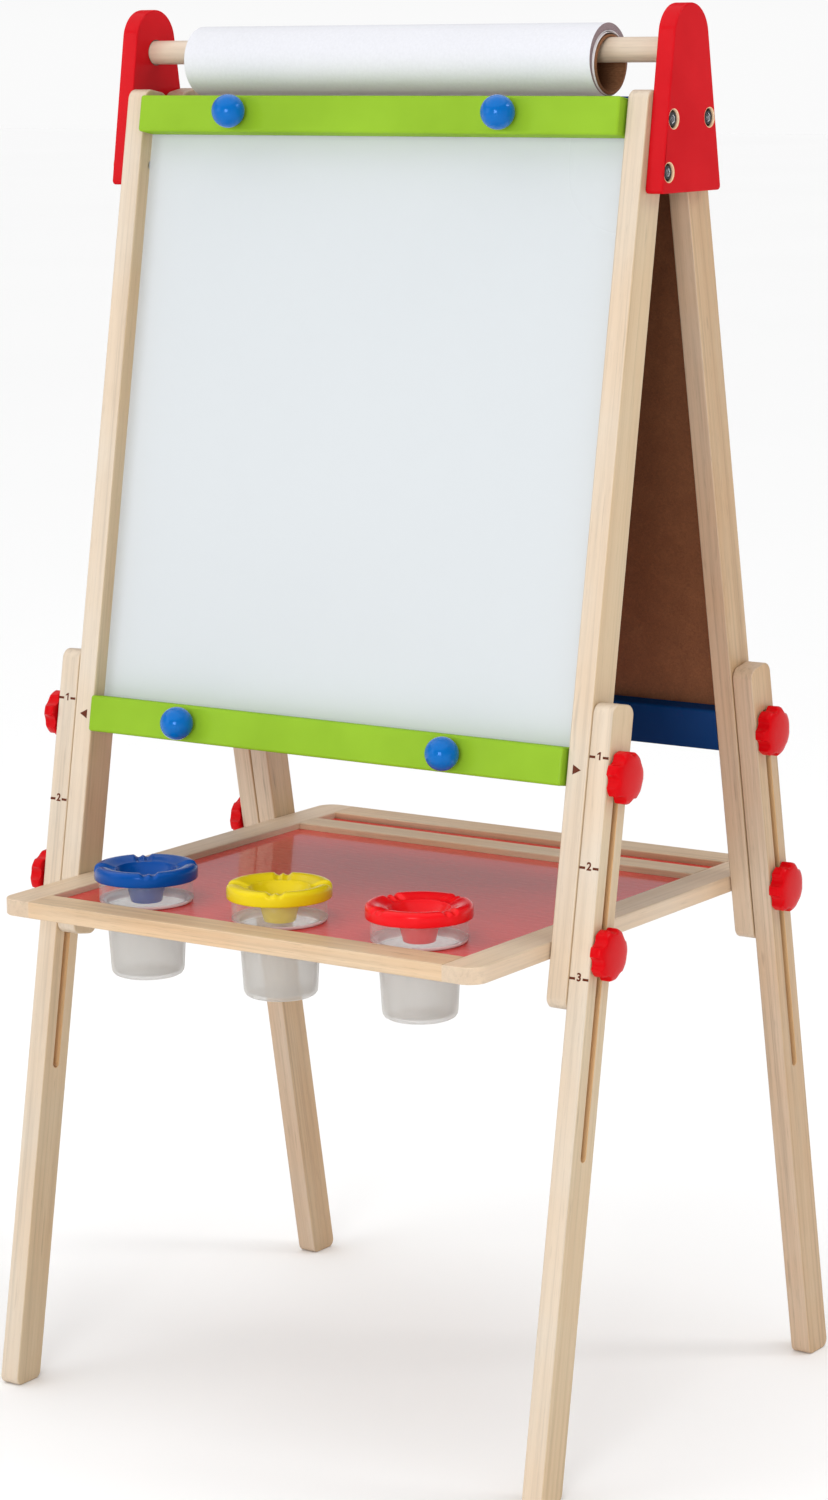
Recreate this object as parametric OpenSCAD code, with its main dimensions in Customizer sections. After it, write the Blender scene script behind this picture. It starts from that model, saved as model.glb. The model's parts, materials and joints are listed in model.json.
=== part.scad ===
// Double-sided children's art easel: two leaning frames under a pair of side plates, sliding legs,
// a paper roll on a dowel, clamp bars, and a tray with three lidded paint cups.
// +X is the right of someone who faces the whiteboard, -Y is the whiteboard side, +Z is up.

/* [Overall] */
// Height of the side plates' lower edge above the floor
plate_base_h = 917.5; // [880:0.5:925]
// Half of the distance between the side plates' inner faces
half_span = 232; // [215:1:260]
// Lean of each frame from the vertical, in degrees
lean = 10.15; // [9:0.05:11]
// Distance from the centre plane to a post's outer face, at the plates' lower edge
frame_y = 48.5; // [47:0.5:52]

/* [Posts and legs] */
// Thickness of the post and leg stock, left to right
stock_t = 17; // [16:0.5:20]
// Depth of the post and leg stock, front to back
stock_d = 28.5; // [27:0.5:30]
// Top of the posts above the plates' lower edge, along the post
post_top = 74.5; // [70:0.5:78]
// Bottom of the posts below the plates' lower edge, along the post
post_bottom = 576; // [570:1:600]
// Radius of the rounded ends of the posts and legs
end_r = 8; // [4:0.5:10]
// Radius of the two edges of each foot
foot_r = 6; // [3:0.5:8]
// Top of the legs below the plates' lower edge, along the post
leg_top = 357; // [345:1:360]
// Play between a leg and its post, and between the plates and the back posts
slip_gap = 0.3; // [0.2:0.05:0.5]
// Distance of a leg slot's upper end below the leg's top
slot_start = 34.5; // [30:0.5:36]
// Length of a leg slot, end to end
slot_len = 291; // [285:1:300]
// Width of a leg slot
slot_w = 6.6; // [6.4:0.1:8]

/* [Clamp knobs] */
// Upper clamp bolts below the plates' lower edge, along the post
upper_clamp = 408; // [402:1:412]
// Lower clamp bolts below the plates' lower edge, along the post
lower_clamp = 533.5; // [530:0.5:540]
// Diameter of a clamp knob over its lobes
knob_d = 38.5; // [32:0.5:42]
// Depth of a clamp knob
knob_h = 12; // [10:0.5:16]
// Number of lobes on a clamp knob
knob_lobes = 7; // [6:1:9]
// Radius of every M6 shank
shank_r = 3; // [2.9:0.05:3]

/* [Side plates] */
// Thickness of the side plates
plate_t = 14; // [13:0.5:18]
// Half width of the side plates at the bottom
plate_half_w = 42; // [40:1:46]
// Height of the side plates
plate_h = 132; // [130:1:140]
// Upper plate bolts, along the post from the plates' lower edge
upper_bolt = 55; // [50:1:58]
// Lower plate bolts, along the post from the plates' lower edge
lower_bolt = 17.5; // [15:0.5:22]
// Diameter of the bolt head recesses
recess_d = 13; // [12:0.5:14]

/* [Paper roll] */
// Diameter of the wooden dowel
dowel_d = 18; // [16:0.5:20]
// Height of the dowel's axis above the plates' lower edge
dowel_z = 99.5; // [95:0.5:103]
// Width of the paper roll
roll_len = 366; // [340:1:381]
// Outside diameter of the paper roll
roll_d = 52; // [46:1:60]
// Inside diameter of the cardboard core
core_d = 39; // [30:0.5:40]
// Distance of the roll's middle from the easel's centre plane
roll_shift = -4; // [-8:1:8]

/* [Boards and bars] */
// Depth of a board's face behind the posts' outer faces
board_inset = 12.8; // [12:0.2:14]
// Thickness of the boards
board_t = 3.2; // [3:0.2:4]
// Height of the clamp bars
bar_h = 27.5; // [24:0.5:30]
// Thickness of the clamp bars
bar_t = 18; // [16:0.5:18.5]
// Top edge of the upper clamp bar, along the post from the plates' lower edge
bar_top = 68; // [64:0.5:70]
// Top edge of the lower clamp bar below the plates' lower edge, along the post
bar_low = 391; // [385:1:391]
// How far the upper clamp bar stands off the whiteboard
bar_lift = 2.5; // [0.3:0.1:3]
// Half of the distance between a bar's two ball knobs
ball_x = 120; // [100:1:150]
// Diameter of the ball knobs
ball_d = 25; // [22:0.5:27]
// Height of the chalkboard frame's rails
back_rail_h = 32; // [28:0.5:34]

/* [Tray] */
// Thickness of the tray's rails, top to bottom
tray_h = 12.5; // [12:0.5:16]
// Width of the tray's outer rails
rail_w = 28.5; // [26:0.5:30]
// Front edge of the tray in front of the centre plane
tray_front = 237; // [232:1:240]
// Back edge of the tray behind the centre plane
tray_back = 186; // [180:1:190]
// Width of the bar in front of the narrow compartment
divider_w = 24; // [20:1:28]
// Width of the narrow rear compartment
trough_w = 26; // [20:1:30]
// Depth of the red panels below the rails' tops
panel_inset = 5; // [4.5:0.1:5.5]
// Thickness of the red panels
panel_t = 3; // [2.5:0.1:3]
// Radius of the tray's outer corners
corner_r = 15; // [8:1:18]

/* [Paint cups] */
// Distance between neighbouring cups
cup_pitch = 124; // [100:1:130]
// Distance of the middle cup left of the easel's centre plane
cup_shift = 3; // [0:0.5:5]
// Distance of the cups' centres behind the tray's front edge
cup_back = 68; // [67:1:90]
// Diameter of a cup above the tray
cup_band_d = 71; // [68:1:74]
// Diameter of a cup just below the tray
cup_neck_d = 61; // [56:1:62]
// Diameter of a cup's base
cup_base_d = 55; // [48:1:56]
// Depth of a cup below the panel
cup_drop = 56; // [50:1:65]
// Height of a cup above the panel
cup_rise = 23.5; // [22:0.5:32]
// Wall thickness of a cup
cup_wall = 1.6; // [1.2:0.1:2]
// Diameter of a lid
lid_d = 78; // [76:0.5:82]
// Height of a lid's rim
lid_h = 10.8; // [9:0.1:12]
// Diameter of a lid's mouth
mouth_d = 45.5; // [38:0.5:47]
// Diameter of the lower end of a lid's funnel
funnel_d = 20.5; // [18:0.5:27]

/* [Hidden] */
$fn = 64;

wood = "burlywood";
red = "crimson";
green = "yellowgreen";
navy = "midnightblue";
steel = "dimgray";
brass = "goldenrod";
cup_colour = "lightgray";

// Clearances: a running fit on a radius, a drilled hole round a shank, and a soft fit between faces
run_fit = 0.06;
drill_gap = 0.3;
face_gap = 0.3;

// Frame geometry
post_in = half_span - stock_t;
centre_d = stock_d / 2;
leg_in = half_span + slip_gap;
leg_out = leg_in + stock_t;
foot_front = -plate_base_h / cos(lean);
foot_back = foot_front + stock_d * tan(lean);
foot_y = frame_y + plate_base_h * tan(lean);
foot_reach = foot_y - foot_r * (tan(lean) + 1 / cos(lean) - 1);
shift_y = (tray_front - foot_reach) / 2;

// Side plates: inward slope of each edge, and the radii of the lower and upper corners
plate_taper = 0.16;
plate_foot_r = 3;
plate_top_r = 24;

// Inserts and bolts
insert_r = 4.5;
insert_len = 12;
recess_depth = 7;
head_r = 5;
head_h = 6;
hex_across = 5.8;
hex_depth = 3;
tray_insert_len = 14;
stud_bite = 11;
stud_clear = 4;
ball_flat = 0.7;

// Clamp knobs: scallops between the lobes, neck and dome, as shares of the knob's diameter and depth
scallop_share = 0.125;
scallop_out = 0.56;
neck_share = 0.2;
dome = [[1, 0.5], [0.955, 0.64], [0.86, 0.77], [0.7, 0.89], [0.45, 0.97], [0, 1]];
knob_standoff = 1;
knob_edge = 0.8;

// Boards, rails and their joints
groove_d = 5;
board_half = post_in + groove_d - face_gap;
front_upper_tip = post_in + groove_d + face_gap;
rail_y = board_inset + board_t;
rail_t = stock_d - rail_y;
bar_end_gap = 1.5;
bar_half = post_in - bar_end_gap;
pin_r = 3;
pin_len = 24;
pin_play = 0.02;
pin_end_gap = 0.5;
rail_pin_x = post_in - pin_len / 2;
board_bottom = -(bar_low + bar_h);
back_rail_bottom = -(bar_low + back_rail_h);
back_rail_front = 3;
edge_r = 2;

// Tray geometry; the tray hangs at the height of the lower clamp bolts
bolt_y = frame_y + lower_clamp * sin(lean) - centre_d * cos(lean);
bolt_z = -lower_clamp * cos(lean) - centre_d * sin(lean);
tray_top = bolt_z + tray_h / 2;
tray_low = bolt_z - tray_h / 2;
tray_side_gap = 0.5;
tray_half = post_in - slip_gap - tray_side_gap;
inner_half = tray_half - rail_w;
panel_top = tray_top - panel_inset;
panel_lip = 6;
panel_play = 0.05;
pin_edge = 7;
pin_step = 8;
front_in = -tray_front + rail_w;
back_in = tray_back - rail_w;
divider_back = back_in - trough_w;
divider_front = divider_back - divider_w;
cup_y = -tray_front + cup_back;
cup_play = 1;
cup_hole_r = cup_neck_d / 2 + cup_play;
cup_lift = 0.1;
cup_draft = 0.5;
cup_bevel = 3;

// Lids: skirt overlap on the cup, roundings, sheet thickness, funnel depth and brush notches
lid_overlap = 6;
lid_round = 3;
lid_land = 4;
lid_wall = 1.8;
dish_drop = 3.4;
funnel_neck_r = 13.5;
funnel_neck = 13;
funnel_depth = 28.6;
notch_r = 3;
notch_half = 3.4;
notch_len = 13;
lid_turns = [41.8, 31.4, 71.2];

// Dowel sockets: the deep one lets the dowel slide clear of the shallow one
socket_short = 6;
socket_deep = 11.5;
dowel_end = 5.5;
core_z = dowel_z - (core_d - dowel_d) / 2 + face_gap;
core_wall = 1.8;
core_proud = 0.5;

// The core hangs on the dowel; the loose outer layers stand higher than the core
roll_ease = 3.5;
roll_z = core_z + roll_ease;

// Corner of an outline, rounded to radius r: points of the arc from side ba to side bc
function unit(v) = v / norm(v);
function turn(a) = a > 180 ? a - 360 : a < -180 ? a + 360 : a;
function corner(a, b, c, r) =
    let (
        u = unit(a - b),
        v = unit(c - b),
        half = acos(u * v) / 2,
        centre = b + unit(u + v) * r / sin(half),
        first = b + u * r / tan(half) - centre,
        last = b + v * r / tan(half) - centre,
        start = atan2(first.y, first.x),
        sweep = turn(atan2(last.y, last.x) - start),
        steps = max(3, ceil(abs(sweep) / 10))
    )
    [for (i = [0 : steps]) centre + r * [cos(start + sweep * i / steps), sin(start + sweep * i / steps)]];
function rounded(points, radii) =
    let (n = len(points))
    [for (i = [0 : n - 1])
        each radii[i] > 0
            ? corner(points[(i + n - 1) % n], points[i], points[(i + 1) % n], radii[i])
            : [points[i]]];
function box_outline(a0, b0, a1, b1) = [[a0, b0], [a1, b0], [a1, b1], [a0, b1]];

// The easel stands on the floor with its origin under the middle of its footprint
module standing() {
    translate([0, shift_y, plate_base_h]) children();
}

// A frame's own space: Y runs in from the posts' outer faces, Z up along the posts
module whiteboard_frame() {
    standing() translate([0, -frame_y, 0]) rotate([-lean, 0, 0]) children();
}

// The chalkboard frame is the same frame turned round, so its left and right change places
module chalkboard_frame() {
    standing() rotate([0, 0, 180]) translate([0, -frame_y, 0]) rotate([-lean, 0, 0]) children();
}

module on_side(side) {
    if (side > 0) children();
    else mirror([1, 0, 0]) children();
}

// Outline in the Y-Z plane, extruded along X
module slab_x(outline, x0, x1) {
    translate([x0, 0, 0]) rotate([90, 0, 90]) linear_extrude(x1 - x0) polygon(outline);
}

// Outline in the X-Y plane, extruded along Z
module slab_z(outline, z0, z1) {
    translate([0, 0, z0]) linear_extrude(z1 - z0) polygon(outline);
}

module block(x0, y0, z0, x1, y1, z1) {
    translate([x0, y0, z0]) cube([x1 - x0, y1 - y0, z1 - z0]);
}

module rod_x(y, z, r, x0, x1) {
    translate([x0, y, z]) rotate([0, 90, 0]) cylinder(h = x1 - x0, r = r);
}

module rod_y(x, z, r, y0, y1) {
    translate([x, y1, z]) rotate([90, 0, 0]) cylinder(h = y1 - y0, r = r);
}

// Side plates

module plate_blank() {
    top_w = plate_half_w - plate_h * plate_taper;
    outline = rounded(
        [[-plate_half_w, 0], [plate_half_w, 0], [top_w, plate_h], [-top_w, plate_h]],
        [plate_foot_r, plate_foot_r, plate_top_r, plate_top_r]);
    slab_x(outline, half_span, half_span + plate_t);
}

module plate_hole() {
    rod_x(0, 0, shank_r + run_fit, half_span - 1, half_span + plate_t + 1);
    rod_x(0, 0, recess_d / 2, half_span + plate_t - recess_depth, half_span + plate_t + 1);
}

// Where a frame's bolt at height along the post lands on the side plate
module at_bolt(along, end) {
    reach = frame_y - along * sin(lean) - centre_d * cos(lean);
    translate([0, end * reach, along * cos(lean) - centre_d * sin(lean)]) children();
}

module side_plate(side, socket) {
    standing() on_side(side) difference() {
        plate_blank();
        at_bolt(upper_bolt, -1) plate_hole();
        at_bolt(lower_bolt, -1) plate_hole();
        at_bolt(upper_bolt, 1) plate_hole();
        rod_x(0, dowel_z, dowel_d / 2 + run_fit, half_span - 1, half_span + socket);
    }
}

// Posts and legs

module insert_pocket(along, face) {
    rod_x(centre_d, along, insert_r, face - insert_len, face + 1);
    rod_x(centre_d, along, shank_r + drill_gap, post_in - 1, face);
}

module post_blank(face) {
    outline = rounded(box_outline(0, -post_bottom, stock_d, post_top), [end_r, end_r, end_r, end_r]);
    slab_x(outline, face - stock_t, face);
}

module pin_pockets(z) {
    for (step = [-1, 1])
        rod_x(rail_y + rail_t / 2, z + step * bar_h / 4, pin_r, post_in - 1, post_in + pin_len / 2);
}

module front_post() {
    difference() {
        post_blank(half_span);
        block(post_in - 1, board_inset, board_bottom - 1, post_in + groove_d, rail_y, bar_top + 1);
        for (along = [upper_bolt, lower_bolt, -upper_clamp]) insert_pocket(along, half_span);
        rod_x(centre_d, -lower_clamp, shank_r + drill_gap, post_in - 1, half_span + 1);
        pin_pockets(bar_top - bar_h / 2);
        pin_pockets(-bar_low - bar_h / 2);
    }
}

module back_post() {
    face = half_span - slip_gap;
    difference() {
        post_blank(face);
        block(post_in - 1, board_inset, back_rail_bottom, post_in + groove_d, rail_y, bar_top + 1);
        for (along = [upper_bolt, -upper_clamp, -lower_clamp]) insert_pocket(along, face);
        pin_pockets(bar_top - back_rail_h / 2);
        pin_pockets(-bar_low - back_rail_h / 2);
    }
}

module leg() {
    outline = rounded(
        [[0, foot_front], [stock_d, foot_back], [stock_d, -leg_top], [0, -leg_top]],
        [foot_r, foot_r, end_r, end_r]);
    slot_top = -leg_top - slot_start - slot_w / 2;
    slot_bottom = -leg_top - slot_start - slot_len + slot_w / 2;
    difference() {
        slab_x(outline, leg_in, leg_out);
        block(leg_in - 1, centre_d - slot_w / 2, slot_bottom, leg_out + 1, centre_d + slot_w / 2, slot_top);
        for (end = [slot_top, slot_bottom]) rod_x(centre_d, end, slot_w / 2, leg_in - 1, leg_out + 1);
    }
}

// Rails, boards and bars

module rail_pins(z) {
    for (side = [-1, 1])
        on_side(side)
            for (step = [-1, 1])
                rod_x(rail_y + rail_t / 2, z + step * bar_h / 4, pin_r - pin_play,
                      rail_pin_x + pin_end_gap, rail_pin_x + pin_len - pin_end_gap);
}

module stud_axes() {
    for (x = [-ball_x, ball_x]) translate([x, 0, 0]) children();
}

module rail_pin_bores(z) {
    for (side = [-1, 1])
        on_side(side)
            for (step = [-1, 1])
                rod_x(rail_y + rail_t / 2, z + step * bar_h / 4, pin_r, rail_pin_x, post_in + 1);
}

module front_rail(z) {
    difference() {
        block(-post_in, rail_y, z - bar_h / 2, post_in, stock_d, z + bar_h / 2);
        stud_axes() rod_y(0, z, insert_r, rail_y - 1, rail_y + stud_bite);
        rail_pin_bores(z);
    }
}

// Grooved rail of the chalkboard frame; the groove opens towards the board
module back_rail(z, towards) {
    difference() {
        slab_x(
            rounded(box_outline(back_rail_front, z - back_rail_h / 2, stock_d, z + back_rail_h / 2),
                    [edge_r, edge_r, edge_r, edge_r]),
            -post_in + slip_gap, post_in - slip_gap);
        block(-post_in, board_inset, z + towards * back_rail_h / 2 - groove_d,
              post_in, rail_y, z + towards * back_rail_h / 2 + groove_d);
        rail_pin_bores(z);
    }
}

module board(bottom, top) {
    block(-board_half, board_inset, bottom, board_half, rail_y, top);
}

module whiteboard_panel() {
    difference() {
        board(board_bottom, bar_top);
        for (z = [bar_top - bar_h / 2, -bar_low - bar_h / 2])
            stud_axes() rod_y(0, z, shank_r + drill_gap, board_inset - 1, rail_y + 1);
    }
}

module clamp_bar(z, lift) {
    back = board_inset - lift;
    difference() {
        slab_x(
            rounded(box_outline(back - bar_t, z - bar_h / 2, back, z + bar_h / 2),
                    [edge_r, edge_r, edge_r / 2, edge_r / 2]),
            -bar_half, bar_half);
        stud_axes() rod_y(0, z, shank_r + drill_gap, back - bar_t - 1, back + 1);
    }
}

// Ball knob with its moulded-in stud; the ball sits on the bar's face
module ball_knob(x, z, lift) {
    face = board_inset - lift - bar_t;
    difference() {
        translate([x, face - ball_d / 2 + ball_flat, z]) sphere(d = ball_d);
        block(x - ball_d, face - face_gap, z - ball_d, x + ball_d, face + ball_d, z + ball_d);
    }
    rod_y(x, z, shank_r, face - ball_d / 4, rail_y + stud_bite - stud_clear);
}

module stud_insert(x, z) {
    difference() {
        rod_y(x, z, insert_r, rail_y, rail_y + stud_bite);
        rod_y(x, z, shank_r + run_fit, rail_y - 1, rail_y + stud_bite + 1);
    }
}

// Fasteners

module socket_bolt(grip) {
    outer = half_span + plate_t - recess_depth;
    difference() {
        rod_x(0, 0, head_r, outer, outer + head_h);
        translate([outer + head_h - hex_depth, 0, 0])
            rotate([0, 90, 0]) cylinder(h = hex_depth + 1, d = hex_across, $fn = 6);
    }
    rod_x(0, 0, shank_r, half_span - grip, outer + 0.5);
}

module post_insert(along, face) {
    difference() {
        rod_x(centre_d, along, insert_r, face - insert_len, face);
        rod_x(centre_d, along, shank_r + run_fit, face - insert_len - 1, face + 1);
    }
}

// Clamp knob with scalloped lobes and a domed face, on a moulded-in bolt whose tip reaches x = tip
module clamp_knob(along, tip) {
    rim = knob_d / 2;
    neck_r = knob_d * neck_share;
    base = leg_out + knob_standoff;
    translate([0, centre_d, -along]) {
        translate([base, 0, 0]) rotate([0, 90, 0]) {
            difference() {
                rotate_extrude() polygon([
                    [0, 0], [rim - knob_edge, 0], [rim, knob_edge],
                    for (spot = dome) [rim * spot.x, knob_h * spot.y]
                ]);
                for (i = [0 : knob_lobes - 1])
                    rotate((i + 0.5) * 360 / knob_lobes) translate([knob_d * scallop_out, 0, -1])
                        cylinder(h = knob_h + 2, r = knob_d * scallop_share);
            }
            translate([0, 0, slip_gap - knob_standoff]) cylinder(h = knob_standoff + 1, r = neck_r);
        }
        rod_x(0, 0, shank_r, tip, base + 2);
    }
}

// Paper roll

module dowel() {
    standing() rod_x(0, dowel_z, dowel_d / 2, -half_span - dowel_end, half_span + dowel_end);
}

// Tube along X, its bore's axis at core_z and its outside's axis at height z
module tube_x(z, r_out, r_in, half_len) {
    standing() translate([roll_shift, 0, 0]) difference() {
        rod_x(0, z, r_out, -half_len, half_len);
        rod_x(0, core_z, r_in, -half_len - 1, half_len + 1);
    }
}

// Tray

function panel_outline(y0, y1, lip) = box_outline(-inner_half - lip, y0 - lip, inner_half + lip, y1 + lip);

module panel_grooves() {
    for (span = [[front_in, divider_front], [divider_back, back_in]])
        slab_z(panel_outline(span[0], span[1], panel_lip), panel_top - panel_t, panel_top);
}

// Centres of the wooden pins along a tray joint
function pin_rows() = [
    -tray_front + pin_edge, -tray_front + pin_edge + pin_step,
    (divider_front + divider_back) / 2,
    tray_back - pin_edge - pin_step, tray_back - pin_edge
];

module tray_pin_set(r, half_len) {
    for (side = [-1, 1])
        on_side(side)
            for (y = pin_rows())
                rod_x(y, bolt_z, r, inner_half - half_len, inner_half + half_len);
}

module tray_side(side) {
    outline = rounded(
        box_outline(inner_half, -tray_front, tray_half, tray_back),
        [0, corner_r, corner_r, 0]);
    standing() difference() {
        on_side(side) slab_z(outline, tray_low, tray_top);
        panel_grooves();
        tray_pin_set(pin_r, pin_len / 2);
        on_side(side) rod_x(-bolt_y, bolt_z, insert_r, tray_half - tray_insert_len, tray_half + 1);
    }
}

module tray_cross(y0, y1) {
    standing() difference() {
        block(-inner_half, y0, tray_low, inner_half, y1, tray_top);
        panel_grooves();
        tray_pin_set(pin_r, pin_len / 2);
    }
}

module red_panel(y0, y1, holes) {
    lip = panel_lip - face_gap;
    standing() difference() {
        slab_z(panel_outline(y0, y1, lip), panel_top - panel_t + panel_play, panel_top);
        if (holes)
            for (i = [-1 : 1])
                translate([i * cup_pitch - cup_shift, cup_y, panel_top - panel_t - 1])
                    cylinder(h = panel_t + 2, r = cup_hole_r);
    }
}

// Cups and lids, turned about their own axis with the panel's surface at height 0

module at_cup(i) {
    standing() translate([i * cup_pitch - cup_shift, cup_y, panel_top + cup_lift]) children();
}

module cup() {
    band = cup_band_d / 2;
    neck = cup_neck_d / 2;
    base = cup_base_d / 2;
    brim = band - cup_draft;
    bevel = cup_bevel;
    rotate_extrude() polygon([
        [0, -cup_drop], [base - bevel, -cup_drop], [base, -cup_drop + bevel],
        [neck, 0], [band - bevel / 3, 0], [band, bevel / 3], [brim, cup_rise],
        [brim - cup_wall, cup_rise], [band - cup_wall, cup_wall], [neck - cup_wall, cup_wall],
        [base - cup_wall, -cup_drop + bevel], [base - cup_wall - bevel / 2, -cup_drop + cup_wall],
        [0, -cup_drop + cup_wall]
    ]);
}

module lid(turn) {
    rim = lid_d / 2;
    mouth = mouth_d / 2;
    tip = funnel_d / 2;
    skirt = cup_band_d / 2 + face_gap;
    seat = cup_rise + face_gap;
    hem = seat - lid_overlap;
    top = hem + lid_h;
    dish = top - dish_drop;
    rotate(turn) difference() {
        rotate_extrude() polygon([
            [skirt, hem], [rim - 0.5, hem], [rim, hem + 1], [rim, top - lid_round],
            [rim - lid_round / 3, top - lid_round / 3], [rim - lid_round, top],
            [rim - lid_round - lid_land, top], [mouth + 1, dish], [mouth, dish - 0.5],
            [mouth - 1, dish - 2], [funnel_neck_r, top - funnel_neck], [tip, top - funnel_depth],
            [tip + lid_wall - 0.5, top - funnel_depth], [funnel_neck_r + lid_wall, top - funnel_neck],
            [mouth + lid_wall - 1, seat - 1.2], [mouth + 2 * lid_wall, seat], [skirt, seat]
        ]);
        for (i = [0 : 3], side = [-1, 1])
            rotate(i * 90) translate([rim - notch_len, side * notch_half, top + 1])
                rotate([0, 90, 0]) cylinder(h = notch_len + 1, r = notch_r);
    }
}

// Nodes

module side_plate_left() { color(red) side_plate(-1, socket_deep); }
module side_plate_right() { color(red) side_plate(1, socket_short); }

module front_post_left() { color(wood) whiteboard_frame() on_side(-1) front_post(); }
module front_post_right() { color(wood) whiteboard_frame() on_side(1) front_post(); }
module front_top_rail() { color(green) whiteboard_frame() front_rail(bar_top - bar_h / 2); }
module front_bottom_rail() { color(green) whiteboard_frame() front_rail(-bar_low - bar_h / 2); }
module whiteboard() { color("whitesmoke") whiteboard_frame() whiteboard_panel(); }

module front_plate_bolts() {
    color(steel) standing()
        for (side = [-1, 1], along = [upper_bolt, lower_bolt])
            on_side(side) at_bolt(along, -1) socket_bolt(insert_len);
}
module front_post_inserts() {
    color(brass) whiteboard_frame()
        for (side = [-1, 1], along = [upper_bolt, lower_bolt, -upper_clamp])
            on_side(side) post_insert(along, half_span);
}
module front_rail_dowels() {
    color(wood) whiteboard_frame()
        for (z = [bar_top - bar_h / 2, -bar_low - bar_h / 2]) rail_pins(z);
}
module ball_stud_inserts() {
    color(brass) whiteboard_frame()
        for (x = [-ball_x, ball_x], z = [bar_top - bar_h / 2, -bar_low - bar_h / 2]) stud_insert(x, z);
}

module back_post_left() { color(wood) chalkboard_frame() on_side(1) back_post(); }
module back_post_right() { color(wood) chalkboard_frame() on_side(-1) back_post(); }
module back_top_rail() { color(navy) chalkboard_frame() back_rail(bar_top - back_rail_h / 2, -1); }
module back_bottom_rail() { color(navy) chalkboard_frame() back_rail(-bar_low - back_rail_h / 2, 1); }
module chalkboard() {
    color("darkslategray") chalkboard_frame()
        board(-bar_low - groove_d + face_gap, bar_top - back_rail_h + groove_d - face_gap);
}
module pivot_bolts() {
    color(steel) standing()
        for (side = [-1, 1]) on_side(side) at_bolt(upper_bolt, 1) socket_bolt(insert_len);
}
module back_post_inserts() {
    color(brass) chalkboard_frame()
        for (side = [-1, 1], along = [upper_bolt, -upper_clamp, -lower_clamp])
            on_side(side) post_insert(along, half_span - slip_gap);
}
module back_rail_dowels() {
    color(wood) chalkboard_frame()
        for (z = [bar_top - back_rail_h / 2, -bar_low - back_rail_h / 2]) rail_pins(z);
}

module leg_front_left() { color(wood) whiteboard_frame() on_side(-1) leg(); }
module leg_front_right() { color(wood) whiteboard_frame() on_side(1) leg(); }
module leg_back_left() { color(wood) chalkboard_frame() on_side(1) leg(); }
module leg_back_right() { color(wood) chalkboard_frame() on_side(-1) leg(); }

module front_knob(side, along, tip) { color(red) whiteboard_frame() on_side(side) clamp_knob(along, tip); }
module back_knob(side, along) {
    color(red) chalkboard_frame() on_side(-side) clamp_knob(along, post_in + 1);
}
module knob_front_left_upper() { front_knob(-1, upper_clamp, front_upper_tip); }
module knob_front_left_lower() { front_knob(-1, lower_clamp, tray_half - tray_insert_len + 1); }
module knob_front_right_upper() { front_knob(1, upper_clamp, front_upper_tip); }
module knob_front_right_lower() { front_knob(1, lower_clamp, tray_half - tray_insert_len + 1); }
module knob_back_left_upper() { back_knob(-1, upper_clamp); }
module knob_back_left_lower() { back_knob(-1, lower_clamp); }
module knob_back_right_upper() { back_knob(1, upper_clamp); }
module knob_back_right_lower() { back_knob(1, lower_clamp); }

module roll_dowel() { color(wood) dowel(); }
module roll_core() { color("sienna") tube_x(core_z, core_d / 2 + core_wall, core_d / 2, roll_len / 2 + core_proud); }
module paper_roll() { color("white") tube_x(roll_z, roll_d / 2, core_d / 2 + core_wall, roll_len / 2); }

module upper_clamp_bar() { color(green) whiteboard_frame() clamp_bar(bar_top - bar_h / 2, bar_lift); }
module lower_clamp_bar() { color(green) whiteboard_frame() clamp_bar(-bar_low - bar_h / 2, face_gap); }

module upper_ball(side) {
    color("royalblue") whiteboard_frame() ball_knob(side * ball_x, bar_top - bar_h / 2, bar_lift);
}
module lower_ball(side) {
    color("royalblue") whiteboard_frame() ball_knob(side * ball_x, -bar_low - bar_h / 2, face_gap);
}
module ball_upper_left() { upper_ball(-1); }
module ball_upper_right() { upper_ball(1); }
module ball_lower_left() { lower_ball(-1); }
module ball_lower_right() { lower_ball(1); }

module tray_side_left() { color(wood) tray_side(-1); }
module tray_side_right() { color(wood) tray_side(1); }
module tray_front_rail() { color(wood) tray_cross(-tray_front, front_in); }
module tray_back_rail() { color(wood) tray_cross(back_in, tray_back); }
module tray_divider() { color(wood) tray_cross(divider_front, divider_back); }
module tray_panel() { color(red) red_panel(front_in, divider_front, true); }
module trough_panel() { color(red) red_panel(divider_back, back_in, false); }
module tray_pins() { color(wood) standing() tray_pin_set(pin_r - pin_play, pin_len / 2 - pin_end_gap); }
module tray_inserts() {
    color(brass) standing()
        for (side = [-1, 1])
            on_side(side) difference() {
                rod_x(-bolt_y, bolt_z, insert_r, tray_half - tray_insert_len, tray_half);
                rod_x(-bolt_y, bolt_z, shank_r + run_fit, tray_half - tray_insert_len - 1, tray_half + 1);
            }
}

module cup_blue() { color(cup_colour) at_cup(-1) cup(); }
module cup_yellow() { color(cup_colour) at_cup(0) cup(); }
module cup_red() { color(cup_colour) at_cup(1) cup(); }
module lid_blue() { color("mediumblue") at_cup(-1) lid(lid_turns[0]); }
module lid_yellow() { color("gold") at_cup(0) lid(lid_turns[1]); }
module lid_red() { color("red") at_cup(1) lid(lid_turns[2]); }

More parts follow.
